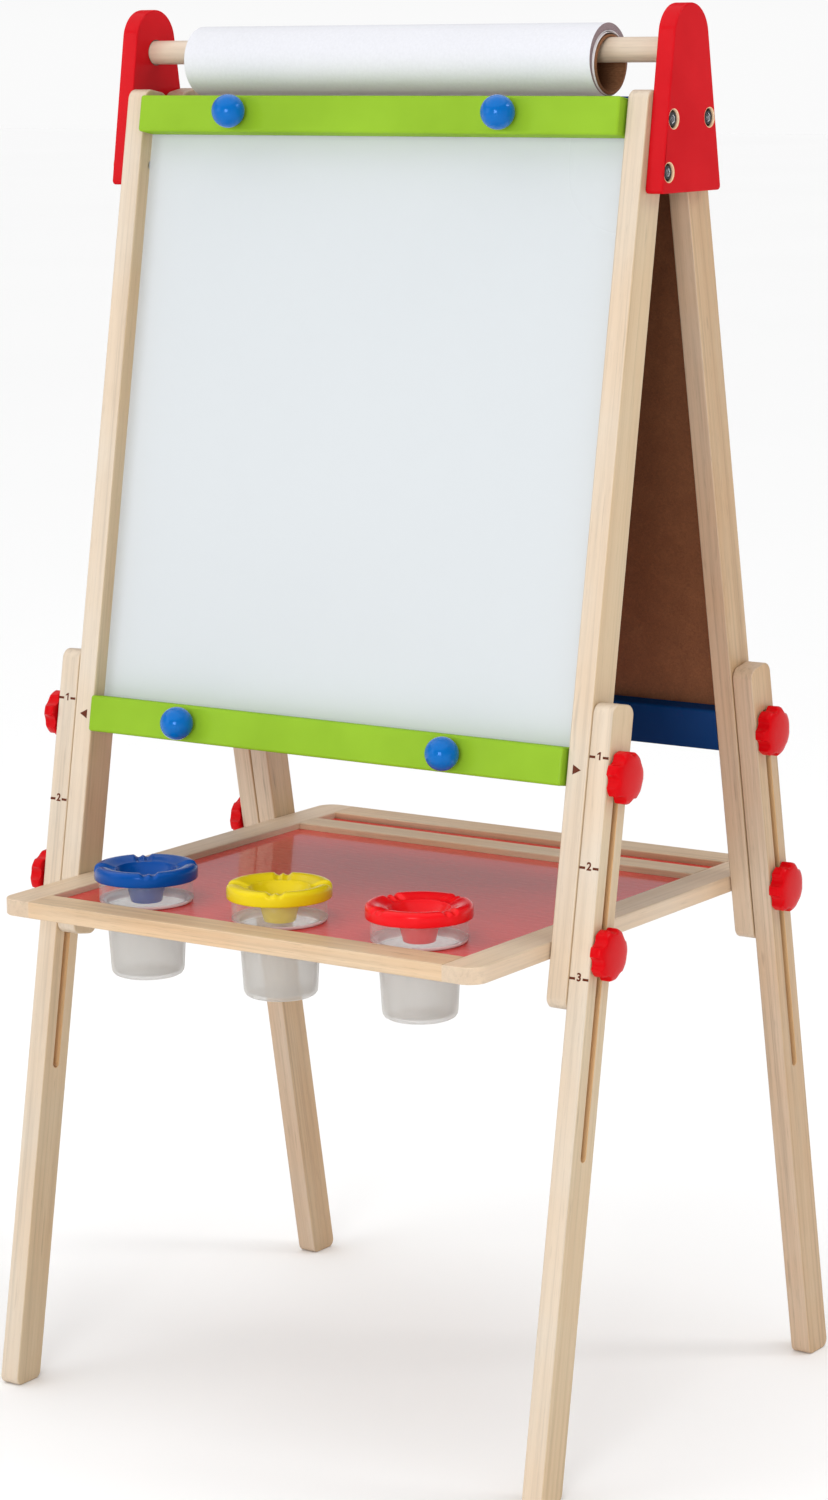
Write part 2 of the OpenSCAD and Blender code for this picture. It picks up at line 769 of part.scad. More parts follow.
side_plate_left();
side_plate_right();
front_post_left();
front_post_right();
front_top_rail();
front_bottom_rail();
whiteboard();
front_plate_bolts();
front_post_inserts();
front_rail_dowels();
ball_stud_inserts();
back_post_left();
back_post_right();
back_top_rail();
back_bottom_rail();
chalkboard();
pivot_bolts();
back_post_inserts();
back_rail_dowels();
leg_front_left();
leg_front_right();
leg_back_left();
leg_back_right();
knob_front_left_upper();
knob_front_left_lower();
knob_front_right_upper();
knob_front_right_lower();
knob_back_left_upper();
knob_back_left_lower();
knob_back_right_upper();
knob_back_right_lower();
roll_dowel();
roll_core();
paper_roll();
upper_clamp_bar();
lower_clamp_bar();
ball_upper_left();
ball_upper_right();
ball_lower_left();
ball_lower_right();
tray_side_left();
tray_side_right();
tray_front_rail();
tray_back_rail();
tray_divider();
tray_panel();
trough_panel();
tray_pins();
tray_inserts();
cup_blue();
cup_yellow();
cup_red();
lid_blue();
lid_yellow();
lid_red();
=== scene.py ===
import json
import math

import bmesh
import bpy
from mathutils import Matrix, Vector


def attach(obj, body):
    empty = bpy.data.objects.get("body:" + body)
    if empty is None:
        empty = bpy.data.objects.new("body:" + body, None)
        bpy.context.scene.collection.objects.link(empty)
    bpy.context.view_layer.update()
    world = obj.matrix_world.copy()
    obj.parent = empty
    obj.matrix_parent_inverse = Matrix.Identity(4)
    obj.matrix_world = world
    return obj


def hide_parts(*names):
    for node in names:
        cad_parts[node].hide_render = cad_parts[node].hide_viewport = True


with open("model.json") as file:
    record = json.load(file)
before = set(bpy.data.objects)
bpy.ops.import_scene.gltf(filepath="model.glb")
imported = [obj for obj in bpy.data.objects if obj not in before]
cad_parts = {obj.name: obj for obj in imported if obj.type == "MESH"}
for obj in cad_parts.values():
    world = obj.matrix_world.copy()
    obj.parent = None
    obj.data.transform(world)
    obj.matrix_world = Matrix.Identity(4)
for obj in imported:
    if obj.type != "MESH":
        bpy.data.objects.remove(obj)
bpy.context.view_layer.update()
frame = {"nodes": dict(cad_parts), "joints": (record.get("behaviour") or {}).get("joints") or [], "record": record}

MM = 0.001
RECORD = frame["record"]
BODY = {node: body for body, nodes in RECORD["behaviour"]["bodies"].items() for node in nodes}
JOINT = {joint["name"]: joint for joint in frame["joints"]}

# The two frames lean against each other: in FRONT and BACK space, Z runs up along the posts
LEG_UP = Vector(JOINT["leg_front_left_slide"]["axis"])
LEAN = math.atan2(LEG_UP.y, LEG_UP.z)
UPRIGHT = Matrix.Identity(4)
FRONT = Matrix.Rotation(-LEAN, 4, "X")
BACK = Matrix.Rotation(LEAN, 4, "X")

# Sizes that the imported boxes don't give
ARRIS = 1.5 * MM          # rounding of the bare wood's edges
END_R = 8 * MM            # rounded ends of posts and legs
FOOT_R = 6 * MM           # rounded edges of the feet
SHANK_R = 3 * MM          # M6 shanks
HOLE_R = 3.3 * MM         # holes and slots that the shanks pass
SLOT_DROP = 34.5 * MM     # a leg slot's upper end below the leg's top
SLOT_LEN = 291 * MM
BOLT_DROPS = (19.5 * MM, 57 * MM)   # plate bolts below the post's top
RECESS_R = 6.5 * MM
RECESS_DEPTH = 7 * MM
CUP_HOLE_R = 31.5 * MM


# ---------------------------------------------------------------- outlines and meshes

def local_box(node, space=UPRIGHT):
    """Lowest and highest corner of a CAD node, in that space."""
    inverse = space.inverted()
    points = [inverse @ v.co for v in frame["nodes"][node].data.vertices]
    return Vector(map(min, zip(*points))), Vector(map(max, zip(*points)))


def local_joint(name, space=UPRIGHT):
    return space.inverted() @ Vector(JOINT[name]["pos_m"])


def arc(centre, radius, first, last, steps):
    """Points round a centre from one angle to another, both ends included."""
    angles = [first + (last - first) * i / steps for i in range(steps + 1)]
    return [Vector((centre[0] + radius * math.cos(a), centre[1] + radius * math.sin(a)))
            for a in angles]


def rounded(corners, radii, step=math.radians(10)):
    """The closed outline through the corners, which run anticlockwise, each rounded to its
    radius, or less where its edges are too short."""
    most = 0.49     # of an edge that one corner's rounding may take
    outline = []
    for i, here in enumerate(corners):
        corner, radius = Vector(here), radii[i]
        if radius == 0:
            outline.append(corner)
            continue
        u = Vector(corners[i - 1]) - corner
        v = Vector(corners[(i + 1) % len(corners)]) - corner
        half = u.angle(v) / 2
        radius = min(radius, most * min(u.length, v.length) * math.tan(half))
        u.normalize()
        v.normalize()
        centre = corner + (u + v).normalized() * radius / math.sin(half)
        first = corner + u * radius / math.tan(half) - centre
        last = corner + v * radius / math.tan(half) - centre
        start = math.atan2(first.y, first.x)
        sweep = math.remainder(math.atan2(last.y, last.x) - start, math.tau)
        steps = max(2, math.ceil(abs(sweep) / step))
        outline += arc(centre, radius, start, start + sweep, steps)
    return outline


def box_outline(a0, b0, a1, b1, radius=0.0):
    return rounded([(a0, b0), (a1, b0), (a1, b1), (a0, b1)], [radius] * 4)


def circle(centre, radius, steps=32):
    return arc(centre, radius, 0, math.tau, steps)[:-1]


def stadium(centre, low, high, radius, steps=16):
    """A slot's outline between the centres of its two round ends."""
    upper = arc((centre, high), radius, 0, math.pi, steps)
    return upper + arc((centre, low), radius, math.pi, math.tau, steps)


def grown(loop, distance, sharpest=0.4):
    """A closed anticlockwise outline moved out by a distance, mitred at its corners; sharpest
    limits the mitre of a pointed one."""
    moved = []
    for i, point in enumerate(loop):
        into, out = point - loop[i - 1], loop[(i + 1) % len(loop)] - point
        a = Vector((into.y, -into.x)).normalized()
        b = Vector((out.y, -out.x)).normalized()
        mitre = (a + b).normalized()
        moved.append(point + mitre * distance / max(sharpest, mitre.dot(a)))
    return moved


PUT = {
    "X": lambda p, h: Vector((h, p[0], p[1])),
    "Y": lambda p, h: Vector((p[0], h, p[1])),
    "Z": lambda p, h: Vector((p[0], p[1], h)),
}


def skin(bm, rings, material=0):
    """Quads between each ring of vertices and the next."""
    for lower, upper in zip(rings, rings[1:]):
        for i in range(len(lower)):
            j = (i + 1) % len(lower)
            bm.faces.new((lower[i], lower[j], upper[j], upper[i])).material_index = material


def cap(bm, loops, material=0):
    """Fills a flat face between an outer loop of vertices and the loops inside it."""
    edges = []
    for loop in loops:
        for i, vert in enumerate(loop):
            other = loop[(i + 1) % len(loop)]
            edges.append(bm.edges.get((vert, other)) or bm.edges.new((vert, other)))
    made = bmesh.ops.triangle_fill(bm, use_beauty=True, edges=edges)
    for item in made["geom"]:
        if isinstance(item, bmesh.types.BMFace):
            item.material_index = material


def arris_steps(radius, steps):
    """(inset, rise) along a quarter round."""
    if radius <= 0:
        return [(0.0, 0.0)]
    angles = [math.pi / 2 * k / steps for k in range(steps + 1)]
    return [(radius * (1 - math.sin(a)), radius * (1 - math.cos(a))) for a in angles]


def add_slab(bm, axis, outline, low, high, arris=ARRIS, holes=(), steps=3, rim=0.4 * MM):
    """A board: the outline carried along an axis from low to high, with rounded edges. Holes are
    (outline, depth, side, wall material): depth None goes through, and side "low" or "high" is
    the face that a blind hole starts from. rim rounds the holes' edges."""
    put = PUT[axis]
    profile = arris_steps(arris, steps)
    levels = [(inset, low + rise) for inset, rise in profile]
    levels += [(inset, high - rise) for inset, rise in reversed(profile)]
    rings = [[bm.verts.new(put(p, h)) for p in grown(outline, -inset)] for inset, h in levels]
    skin(bm, rings)
    faces = {"low": [rings[0]], "high": [rings[-1]]}
    small = arris_steps(min(arris, rim), 2)
    for loop, depth, side, wall in holes:
        if depth is None:
            spots = [(grow, low + rise) for grow, rise in small]
            spots += [(grow, high - rise) for grow, rise in reversed(small)]
        elif side == "high":
            spots = [(0.0, high - depth)] + [(grow, high - rise) for grow, rise in reversed(small)]
        else:
            spots = [(grow, low + rise) for grow, rise in small] + [(0.0, low + depth)]
        hole = [[bm.verts.new(put(p, h)) for p in grown(loop, grow)] for grow, h in spots]
        skin(bm, hole, wall)
        if depth is None or side == "low":
            faces["low"].append(hole[0])
        if depth is None or side == "high":
            faces["high"].append(hole[-1])
        if depth is not None:
            cap(bm, [hole[0] if side == "high" else hole[-1]], wall)
    cap(bm, faces["low"])
    cap(bm, faces["high"])


def add_lathe(bm, profile, place=UPRIGHT, steps=48, shape=None, material=0, closed=False):
    """A profile of (radius, height) turned about Z and placed; shape(angle, radius, height) may
    bend it. material is a number, or a function of the profile's index."""
    rings = []
    for radius, height in profile:
        if radius == 0:
            rings.append([bm.verts.new(place @ Vector((0, 0, height)))])
            continue
        ring = []
        for i in range(steps):
            angle = math.tau * i / steps
            r, z = shape(angle, radius, height) if shape else (radius, height)
            ring.append(bm.verts.new(place @ Vector((r * math.cos(angle), r * math.sin(angle), z))))
        rings.append(ring)
    pairs = list(zip(rings, rings[1:])) + ([(rings[-1], rings[0])] if closed else [])
    for index, (lower, upper) in enumerate(pairs):
        number = material(index) if callable(material) else material
        for i in range(steps):
            j = (i + 1) % steps
            corners = [ring[k % len(ring)] for ring, k in (
                (lower, i), (lower, j), (upper, j), (upper, i))]
            unique = list(dict.fromkeys(corners))
            if len(unique) > 2:
                bm.faces.new(unique).material_index = number


def smooth_profile(points):
    """An open profile with its corners cut, which leaves it softly rounded."""
    cut = [points[0]]
    for (r0, z0), (r1, z1) in zip(points, points[1:]):
        cut.append((r0 * 0.75 + r1 * 0.25, z0 * 0.75 + z1 * 0.25))
        cut.append((r0 * 0.25 + r1 * 0.75, z0 * 0.25 + z1 * 0.75))
    return cut + [points[-1]]


def add_object(name, data):
    made = bpy.data.objects.new(name, data)
    bpy.context.scene.collection.objects.link(made)
    return made


def piece(name, bm, materials, node, space=UPRIGHT, replaced=(), sharp=38, weighted=True):
    """Makes an object of the mesh, with its materials; it rides on the CAD node's body."""
    bmesh.ops.recalc_face_normals(bm, faces=bm.faces)
    mesh = bpy.data.meshes.new(name)
    bm.to_mesh(mesh)
    bm.free()
    mesh.shade_smooth()
    mesh.set_sharp_from_angle(angle=math.radians(sharp))
    for made in materials:
        mesh.materials.append(made)
    thing = add_object(name, mesh)
    thing.matrix_world = space
    if weighted:
        normals = thing.modifiers.new("even_normals", "WEIGHTED_NORMAL")
        normals.keep_sharp = True
    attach(thing, BODY[node])
    for hidden in replaced:
        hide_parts(hidden)


def fine(node, bm, materials, space=UPRIGHT, **how):
    """The piece that stands for a CAD node."""
    piece("fine_" + node, bm, materials, node, space, [node], **how)


# ---------------------------------------------------------------- materials

def node(tree, kind, inputs=(), **settings):
    made = tree.nodes.new("ShaderNode" + kind)
    for key, value in settings.items():
        setattr(made, key, value)
    for key, value in dict(inputs).items():
        if isinstance(value, bpy.types.NodeSocket):
            tree.links.new(value, made.inputs[key])
        else:
            made.inputs[key].default_value = value
    return made


def blank(name, **sockets):
    """A material with a Principled shader; keyword names are socket names with _ for a space."""
    made = bpy.data.materials.new(name)
    made.use_nodes = True
    shader = made.node_tree.nodes["Principled BSDF"]
    for key, value in sockets.items():
        shader.inputs[key.replace("_", " ")].default_value = value
    return made, made.node_tree, shader


def wire(tree, shader, **sources):
    """Links outputs to the shader's sockets, which are named as in blank()."""
    for key, source in sources.items():
        tree.links.new(source, shader.inputs[key.replace("_", " ")])


def object_coords(tree, offset=(0, 0, 0), scale=(1, 1, 1)):
    coords = node(tree, "TexCoord").outputs["Object"]
    return node(tree, "Mapping",
                {"Vector": coords, "Location": offset, "Scale": scale}).outputs["Vector"]


def noise(tree, scale, detail=3.0, roughness=0.5, distortion=0.0, shift=(0, 0, 0)):
    """Noise in the piece's own coordinates; scale is one number, or one for each axis."""
    scale = scale if isinstance(scale, (tuple, list)) else (scale,) * 3
    return node(tree, "TexNoise", {
        "Vector": object_coords(tree, shift, scale), "Scale": 1.0, "Detail": detail,
        "Roughness": roughness, "Distortion": distortion}).outputs["Fac"]


def ramp(tree, factor, *stops):
    """A colour ramp with (place, colour) stops; a colour may be one number."""
    made = node(tree, "ValToRGB", {"Fac": factor})
    elements = made.color_ramp.elements
    while len(elements) < len(stops):
        elements.new(0.5)
    for element, (place, shade) in zip(elements, stops):
        element.position = place
        element.color = (*([shade] * 3 if isinstance(shade, (int, float)) else shade), 1.0)
    return made.outputs["Color"]


def mix(tree, factor, a, b, blend="MIX"):
    return node(tree, "Mix", {0: factor, 6: a, 7: b}, data_type="RGBA", blend_type=blend).outputs[2]


def times(tree, base, factor):
    return mix(tree, 1.0, base, factor, "MULTIPLY")


def maths(tree, operation, *terms):
    return node(tree, "Math", dict(enumerate(terms)), operation=operation).outputs[0]


def colour(rgb):
    return (*rgb, 1.0)


def dimmed(rgb, factor):
    return [min(1.0, c * factor) for c in rgb]


def bump(tree, shader, height, strength, distance):
    made = node(tree, "Bump", {"Height": height, "Strength": strength, "Distance": distance})
    wire(tree, shader, Normal=made.outputs["Normal"])


def grain_scale(axis, along, across):
    scale = [across] * 3
    scale["XYZ".index(axis)] = along
    return scale


def wood(name, axis, seed, light=(0.67, 0.575, 0.470), dark=(0.565, 0.440, 0.320),
         tint_and_light=(1, 1, 1), contrast=1.0):
    """Clear-lacquered pale wood: fine straight grain along an axis, and browner end grain. Upright pieces have
    painted shade on their edge faces, which makes them browner."""
    made, tree, shader = blank(name, Specular_IOR_Level=0.5)
    shift = (seed * 1.7, seed * 2.3, seed * 3.1)

    def fibres(along, across, *settings):
        return noise(tree, grain_scale(axis, along, across), *settings, shift=shift)

    def lines(fibre, *stops):
        return ramp(tree, fibre, *[(place, 1.0 - depth * contrast) for place, depth in stops])

    bands = fibres(1.3, 48, 4.0, 0.55, 0.6)
    rings = fibres(4.0, 330, 3.0, 0.6, 0.5)
    pores = fibres(60.0, 1500, 2.0, 0.6)
    flecks = fibres(22.0, 240, 2.0, 0.5, 0.3)
    patches = fibres(9, 9)
    base = mix(tree, ramp(tree, bands, (0.36, 0.0), (0.72, 0.55 * contrast)),
               colour(light), colour(dark))
    base = times(tree, base, lines(rings, (0.46, 0.0), (0.60, 0.07), (0.72, 0.17)))
    base = times(tree, base, lines(pores, (0.58, 0.0), (0.76, 0.14)))
    base = times(tree, base, lines(flecks, (0.66, 0.0), (0.80, 0.22)))
    drift = ramp(tree, patches, (0.35, (1.0, 0.94, 0.88)), (0.65, (0.985, 1.0, 1.02)))
    base = times(tree, base, drift)
    normal = node(tree, "SeparateXYZ", {"Vector": node(tree, "TexCoord").outputs["Normal"]})
    # painted shade: the faces of upright pieces that point along X are tinted browner, as if in shade
    side_face_shade = (0.93, 0.86, 0.71) if axis == "Z" else (1, 1, 1)
    edge = maths(tree, "ABSOLUTE", normal.outputs["X"])
    # each piece's tint colours all its faces: painted shade on the back frame, painted light on the tray's sides
    edge = ramp(tree, edge, (0.4, tint_and_light), (0.95, [t * c for t, c in zip(tint_and_light, side_face_shade)]))
    base = times(tree, base, edge)
    end = maths(tree, "ABSOLUTE", normal.outputs[axis])
    end = ramp(tree, end, (0.55, 0.0), (0.95, 0.0 if axis == "X" else 0.3))
    base = mix(tree, end, base, colour(dimmed(dark, 0.66)))
    wire(tree, shader, Base_Color=base, Roughness=ramp(tree, rings, (0.3, 0.34), (0.75, 0.5)))
    bump(tree, shader, maths(tree, "ADD", rings, pores), 0.25, 0.08 * MM)
    return made


def recess():
    """Bare wood at a bolt recess's rim; further in, painted shade, the bolt head's shadow, makes it dark."""
    made = wood("recess_wood", "Z", 11.0, (0.86, 0.64, 0.44), (0.76, 0.53, 0.34), contrast=0.6)
    tree = made.node_tree
    shader = tree.nodes["Principled BSDF"]
    bare = shader.inputs["Base Color"].links[0].from_socket
    across = node(tree, "SeparateXYZ", {"Vector": object_coords(tree)}).outputs["X"]
    face = local_box("side_plate_right")[1].x
    depth = maths(tree, "SUBTRACT", face, maths(tree, "ABSOLUTE", across))
    depth = maths(tree, "MULTIPLY", depth, 1 / (5 * MM))
    # painted shade: from about 1.5 mm deep, the recess wall and floor turn near black, standing in for the bolt
    # head's shadow
    painted_head_shadow = ramp(tree, depth, (0.30, 0.0), (0.52, 0.92))
    wire(tree, shader, Base_Color=mix(tree, painted_head_shadow, bare, colour((0.030, 0.016, 0.010))))
    return made


def paint(name, rgb, axis, seed, roughness, gloss=0.14):
    """Sprayed gloss paint on wood: the grain shows faintly through an orange-peel surface."""
    made, tree, shader = blank(name, Specular_IOR_Level=0.0, Coat_Weight=gloss, Coat_Roughness=0.13)
    shift = (seed, seed * 1.3, seed * 0.7)
    fibres = noise(tree, grain_scale(axis, 14, 620), 3.0, 0.6, shift=shift)
    clouds = noise(tree, 14, shift=shift)
    peel = noise(tree, 700, 2.0, shift=shift)
    lighter = [c * 1.08 + 0.004 for c in rgb]
    wire(tree, shader, Base_Color=ramp(tree, clouds, (0.3, dimmed(rgb, 0.92)), (0.7, lighter)),
         Roughness=ramp(tree, fibres, (0.3, roughness * 0.85), (0.7, roughness * 1.25)))
    bump(tree, shader, mix(tree, 0.25, peel, fibres), 0.20, 0.08 * MM)
    return made


def plastic(name, rgb, roughness=0.2, gloss=0.42):
    """Moulded plastic or a dipped ball: glints take on its colour, which drifts slightly."""
    tint = [0.25 + 0.75 * c / max(rgb) for c in rgb] + [1.0]
    made, tree, shader = blank(name, Specular_IOR_Level=gloss, Specular_Tint=tint)
    clouds = noise(tree, 22, 2.0)
    pimples = noise(tree, 300, 2.0, shift=(3, 1, 2))
    wire(tree, shader,
         Base_Color=ramp(tree, clouds, (0.3, dimmed(rgb, 0.95)), (0.7, dimmed(rgb, 1.05))),
         Roughness=ramp(tree, pimples, (0.3, roughness * 0.8), (0.7, roughness * 1.3)))
    bump(tree, shader, pimples, 0.05, 0.04 * MM)
    return made


def metal(name, rgb, roughness, scratch_axis="Z"):
    made, tree, shader = blank(name, Metallic=1.0)
    scratches = noise(tree, grain_scale(scratch_axis, 2500, 160), 2.0)
    wire(tree, shader,
         Base_Color=ramp(tree, scratches, (0.3, dimmed(rgb, 0.75)), (0.7, dimmed(rgb, 1.2))),
         Roughness=ramp(tree, scratches, (0.3, roughness * 0.8), (0.7, roughness * 1.3)))
    bump(tree, shader, scratches, 0.2, 0.03 * MM)
    return made


def board_white():
    """White enamel film: glossy, with very faint wipe marks."""
    made, tree, shader = blank("whiteboard_film", Specular_IOR_Level=0.45)
    wipes = noise(tree, (2.5, 2.5, 4), 1.0, 0.4, shift=(0.3, 0, 0.7))
    dust = noise(tree, 260, 2.0)
    base = ramp(tree, wipes, (0.3, (0.560, 0.592, 0.614)), (0.7, (0.575, 0.606, 0.627)))
    wire(tree, shader, Base_Color=base, Roughness=ramp(tree, wipes, (0.3, 0.27), (0.7, 0.31)))
    bump(tree, shader, dust, 0.04, 0.02 * MM)
    return made


def board_chalk():
    """Matt black chalk surface with wiped traces of chalk."""
    made, tree, shader = blank("chalk_surface", Roughness=0.85, Specular_IOR_Level=0.3)
    sweeps = noise(tree, (3, 3, 11), 5.0, 0.65, 1.6, shift=(0.1, 0, 0.4))
    tooth = noise(tree, 900, 2.0)
    base = ramp(tree, sweeps, (0.35, (0.018, 0.020, 0.019)), (0.62, (0.034, 0.036, 0.035)),
                (0.80, (0.075, 0.077, 0.076)))
    wire(tree, shader, Base_Color=times(tree, base, ramp(tree, tooth, (0.35, 0.82), (0.7, 1.15))))
    bump(tree, shader, tooth, 0.4, 0.08 * MM)
    return made


def hardboard():
    """Brown pressed hardboard: mottled, with fine fibres in every direction."""
    made, tree, shader = blank("hardboard", Roughness=0.62, Specular_IOR_Level=0.35)
    mottle = noise(tree, 48, 6.0, 0.7, 0.6)
    hairs = noise(tree, 520, 3.0, 0.6, 1.5, shift=(5, 5, 5))
    base = ramp(tree, mottle, (0.30, (0.175, 0.062, 0.023)), (0.55, (0.200, 0.074, 0.028)),
                (0.78, (0.235, 0.092, 0.036)))
    wire(tree, shader, Base_Color=times(tree, base, ramp(tree, hairs, (0.3, 0.78), (0.7, 1.18))))
    bump(tree, shader, hairs, 0.35, 0.10 * MM)
    return made


def lacquer_red():
    """High-gloss red film on the tray's panels, with hairline scratches."""
    made, tree, shader = blank("panel_lacquer", Specular_IOR_Level=0.1, Coat_Weight=0.56,
                               Coat_Roughness=0.03)
    clouds = noise(tree, 7)
    hair = noise(tree, (26, 900, 26), 2.0, 0.5, 2.0, shift=(2, 0, 1))
    wire(tree, shader,
         Base_Color=ramp(tree, clouds, (0.3, (0.68, 0.028, 0.024)), (0.7, (0.73, 0.037, 0.033))),
         Roughness=ramp(tree, hair, (0.50, 0.16), (0.78, 0.42)))
    bump(tree, shader, hair, 0.10, 0.02 * MM)
    return made


def paper(name, rgb):
    made, tree, shader = blank(name, Specular_IOR_Level=0.3)
    fibre = noise(tree, 480, 4.0, 0.6)
    waves = noise(tree, (6, 24, 24), 2.0, shift=(1, 1, 1))
    base = ramp(tree, fibre, (0.3, dimmed(rgb, 0.965)), (0.7, dimmed(rgb, 1.02)))
    wire(tree, shader, Base_Color=times(tree, base, ramp(tree, waves, (0.3, 0.97), (0.7, 1.0))),
         Roughness=ramp(tree, waves, (0.3, 0.63), (0.7, 0.7)))
    bump(tree, shader, fibre, 0.05, 0.03 * MM)
    return made


def paper_edges():
    """The roll's end: the edges of many tight layers, in rings of dark grey that are painted shade on the white
    paper.
    """
    made, tree, shader = blank("roll_paper_edge_painted_shade", Roughness=0.8, Specular_IOR_Level=0.2)
    layers = node(tree, "TexWave", {
        "Vector": object_coords(tree), "Scale": 900.0, "Distortion": 1.2, "Detail": 2.0},
        wave_type="RINGS", rings_direction="X").outputs["Fac"]
    dust = noise(tree, 700)
    # painted shade: the white paper is coloured dark mauve grey at the roll's end, as it looks in shadow
    base = ramp(tree, layers, (0.2, (0.22, 0.16, 0.17)), (0.6, (0.30, 0.235, 0.25)),
                (0.9, (0.38, 0.32, 0.34)))
    wire(tree, shader, Base_Color=times(tree, base, ramp(tree, dust, (0.3, 0.9), (0.7, 1.05))))
    bump(tree, shader, layers, 0.3, 0.08 * MM)
    return made


def cardboard():
    """Spiral-wound tube board."""
    made, tree, shader = blank("tube_board", Roughness=0.8, Specular_IOR_Level=0.25)
    fibre = noise(tree, (300, 900, 900), 4.0, 0.65)
    wraps = node(tree, "TexWave", {
        "Vector": object_coords(tree), "Scale": 7.0, "Distortion": 1.5, "Detail": 2.0},
        bands_direction="DIAGONAL").outputs["Fac"]
    base = ramp(tree, fibre, (0.3, (0.17, 0.070, 0.030)), (0.7, (0.29, 0.135, 0.060)))
    wire(tree, shader, Base_Color=times(tree, base, ramp(tree, wraps, (0.0, 0.72), (0.12, 1.0))))
    bump(tree, shader, fibre, 0.4, 0.10 * MM)
    return made


def frosted(name, tint, cover, edge, roughness):
    """Thin frosted polypropylene: each wall lets part of what is behind it through, least at a
    slant."""
    made, tree, shader = blank(name, Specular_IOR_Level=0.5)
    haze = noise(tree, (60, 60, 14))
    slant = node(tree, "LayerWeight", {"Blend": 0.35}).outputs["Facing"]
    wire(tree, shader, Base_Color=ramp(tree, haze, (0.3, dimmed(tint, 0.95)), (0.7, tint)),
         Roughness=ramp(tree, haze, (0.3, roughness * 0.85), (0.7, roughness * 1.15)),
         Alpha=ramp(tree, slant, (0.35, cover), (0.95, edge)))
    bump(tree, shader, haze, 0.08, 0.10 * MM)
    return made


WHITE_FILM = board_white()
CHALK = board_chalk()
HARDBOARD = hardboard()
PANEL_RED = lacquer_red()
TUBE = cardboard()
PAPER = paper("roll_paper", (0.70, 0.705, 0.745))
LOOSE_PAPER = paper("loose_paper", (0.78, 0.75, 0.76))
SHADED_PAPER_EDGE = paper_edges()
RED_PAINT = paint("red_paint", (0.55, 0.005, 0.010), "Z", 1.0, 0.4)
GREEN_PAINT = paint("green_paint", (0.245, 0.435, 0.022), "X", 2.0, 0.4)
NAVY_PAINT = paint("navy_paint", (0.0015, 0.034, 0.135), "X", 3.0, 0.45, 0.15)
INK = paint("scale_ink", (0.115, 0.028, 0.014), "Z", 6.0, 0.5)
BALL_PAINT = plastic("ball_paint", (0.0, 0.125, 0.44), 0.16, 0.6)
KNOB_RED = plastic("knob_plastic", (0.58, 0.003, 0.006), 0.16, 0.15)
LID_COLOURS = {
    "blue": plastic("lid_plastic_blue", (0.0, 0.062, 0.30)),
    "yellow": plastic("lid_plastic_yellow", (0.74, 0.57, 0.008)),
    "red": plastic("lid_plastic_red", (0.80, 0.007, 0.012)),
}
CUP_BAND = frosted("cup_band", (0.88, 0.84, 0.83), 0.09, 0.45, 0.10)
CUP_SHOULDER = frosted("cup_shoulder", (0.92, 0.91, 0.90), 0.72, 0.9, 0.20)
CUP_BODY = frosted("cup_body", (0.62, 0.60, 0.565), 0.42, 0.80, 0.35)
BLACK_STEEL = metal("black_steel", (0.045, 0.045, 0.05), 0.30)
BRIGHT_STEEL = metal("bright_steel", (0.62, 0.62, 0.63), 0.22, "X")
BRASS = metal("brass", (0.72, 0.50, 0.20), 0.32)
SLOT_WOOD = wood("slot_wood", "Z", 9.0, (0.66, 0.43, 0.22), (0.52, 0.32, 0.15), contrast=0.6)
RECESS_WOOD = recess()


# ---------------------------------------------------------------- posts, legs and plates

# Tints of the pale wood, and how strong its grain is; the back frame's darker, warmer tint is painted shade and
# the tray sides' lighter tint is painted light
TINTS_AND_PAINTED_LIGHT = {"front": (0.99, 0.98, 0.95), "back": (0.90, 0.80, 0.71), "side": (1.06, 0.98, 0.88),
         "cross": (1.0, 0.87, 0.70)}
GRAIN = {"front": 1.0, "back": 1.5, "side": 1.0, "cross": 1.6}


def toned_wood(name, axis, seed, use):
    return wood("wood_" + name, axis, seed, tint_and_light=TINTS_AND_PAINTED_LIGHT[use], contrast=GRAIN[use])


def post(side, hand, space, seed):
    name = f"{side}_post_{hand}"
    low, high = local_box(name, space)
    heights = [high.z - drop for drop in (BOLT_DROPS if side == "front" else BOLT_DROPS[:1])]
    heights += [local_joint(f"knob_{side}_{hand}_{level}_turn", space).z
                for level in ("upper", "lower")]
    middle = (low.y + high.y) / 2
    holes = [(circle((middle, z), HOLE_R, steps=20), None, "low", 0) for z in heights]
    outline = box_outline(low.y, low.z, high.y, high.z, END_R)
    bm = bmesh.new()
    add_slab(bm, "X", outline, low.x, high.x, holes=holes)
    fine(name, bm, [toned_wood(name, "Z", seed, side)], space)


def leg(side, hand, space, seed):
    name = f"leg_{side}_{hand}"
    low, high = local_box(name, space)
    tilt = math.tan(LEAN) if space is FRONT else -math.tan(LEAN)
    outline = rounded(
        [(low.y, low.y * tilt), (high.y, high.y * tilt), (high.y, high.z), (low.y, high.z)],
        [FOOT_R, FOOT_R, END_R, END_R])
    slot_top = high.z - SLOT_DROP
    slot = stadium((low.y + high.y) / 2, slot_top - SLOT_LEN + HOLE_R, slot_top - HOLE_R, HOLE_R)
    bm = bmesh.new()
    add_slab(bm, "X", outline, low.x, high.x, holes=[(slot, None, "low", 1)])
    fine(name, bm, [toned_wood(name, "Z", seed, side), SLOT_WOOD], space)


def plate_bolt_spots(frames=("front", "back")):
    """Where the plate bolts' axes are: two in the front posts and one in the back posts."""
    spots = []
    for name, space, drops in (("front", FRONT, BOLT_DROPS), ("back", BACK, BOLT_DROPS[:1])):
        if name in frames:
            low, high = local_box(name + "_post_left", space)
            spots += [space @ Vector((0, (low.y + high.y) / 2, high.z - drop)) for drop in drops]
    return spots


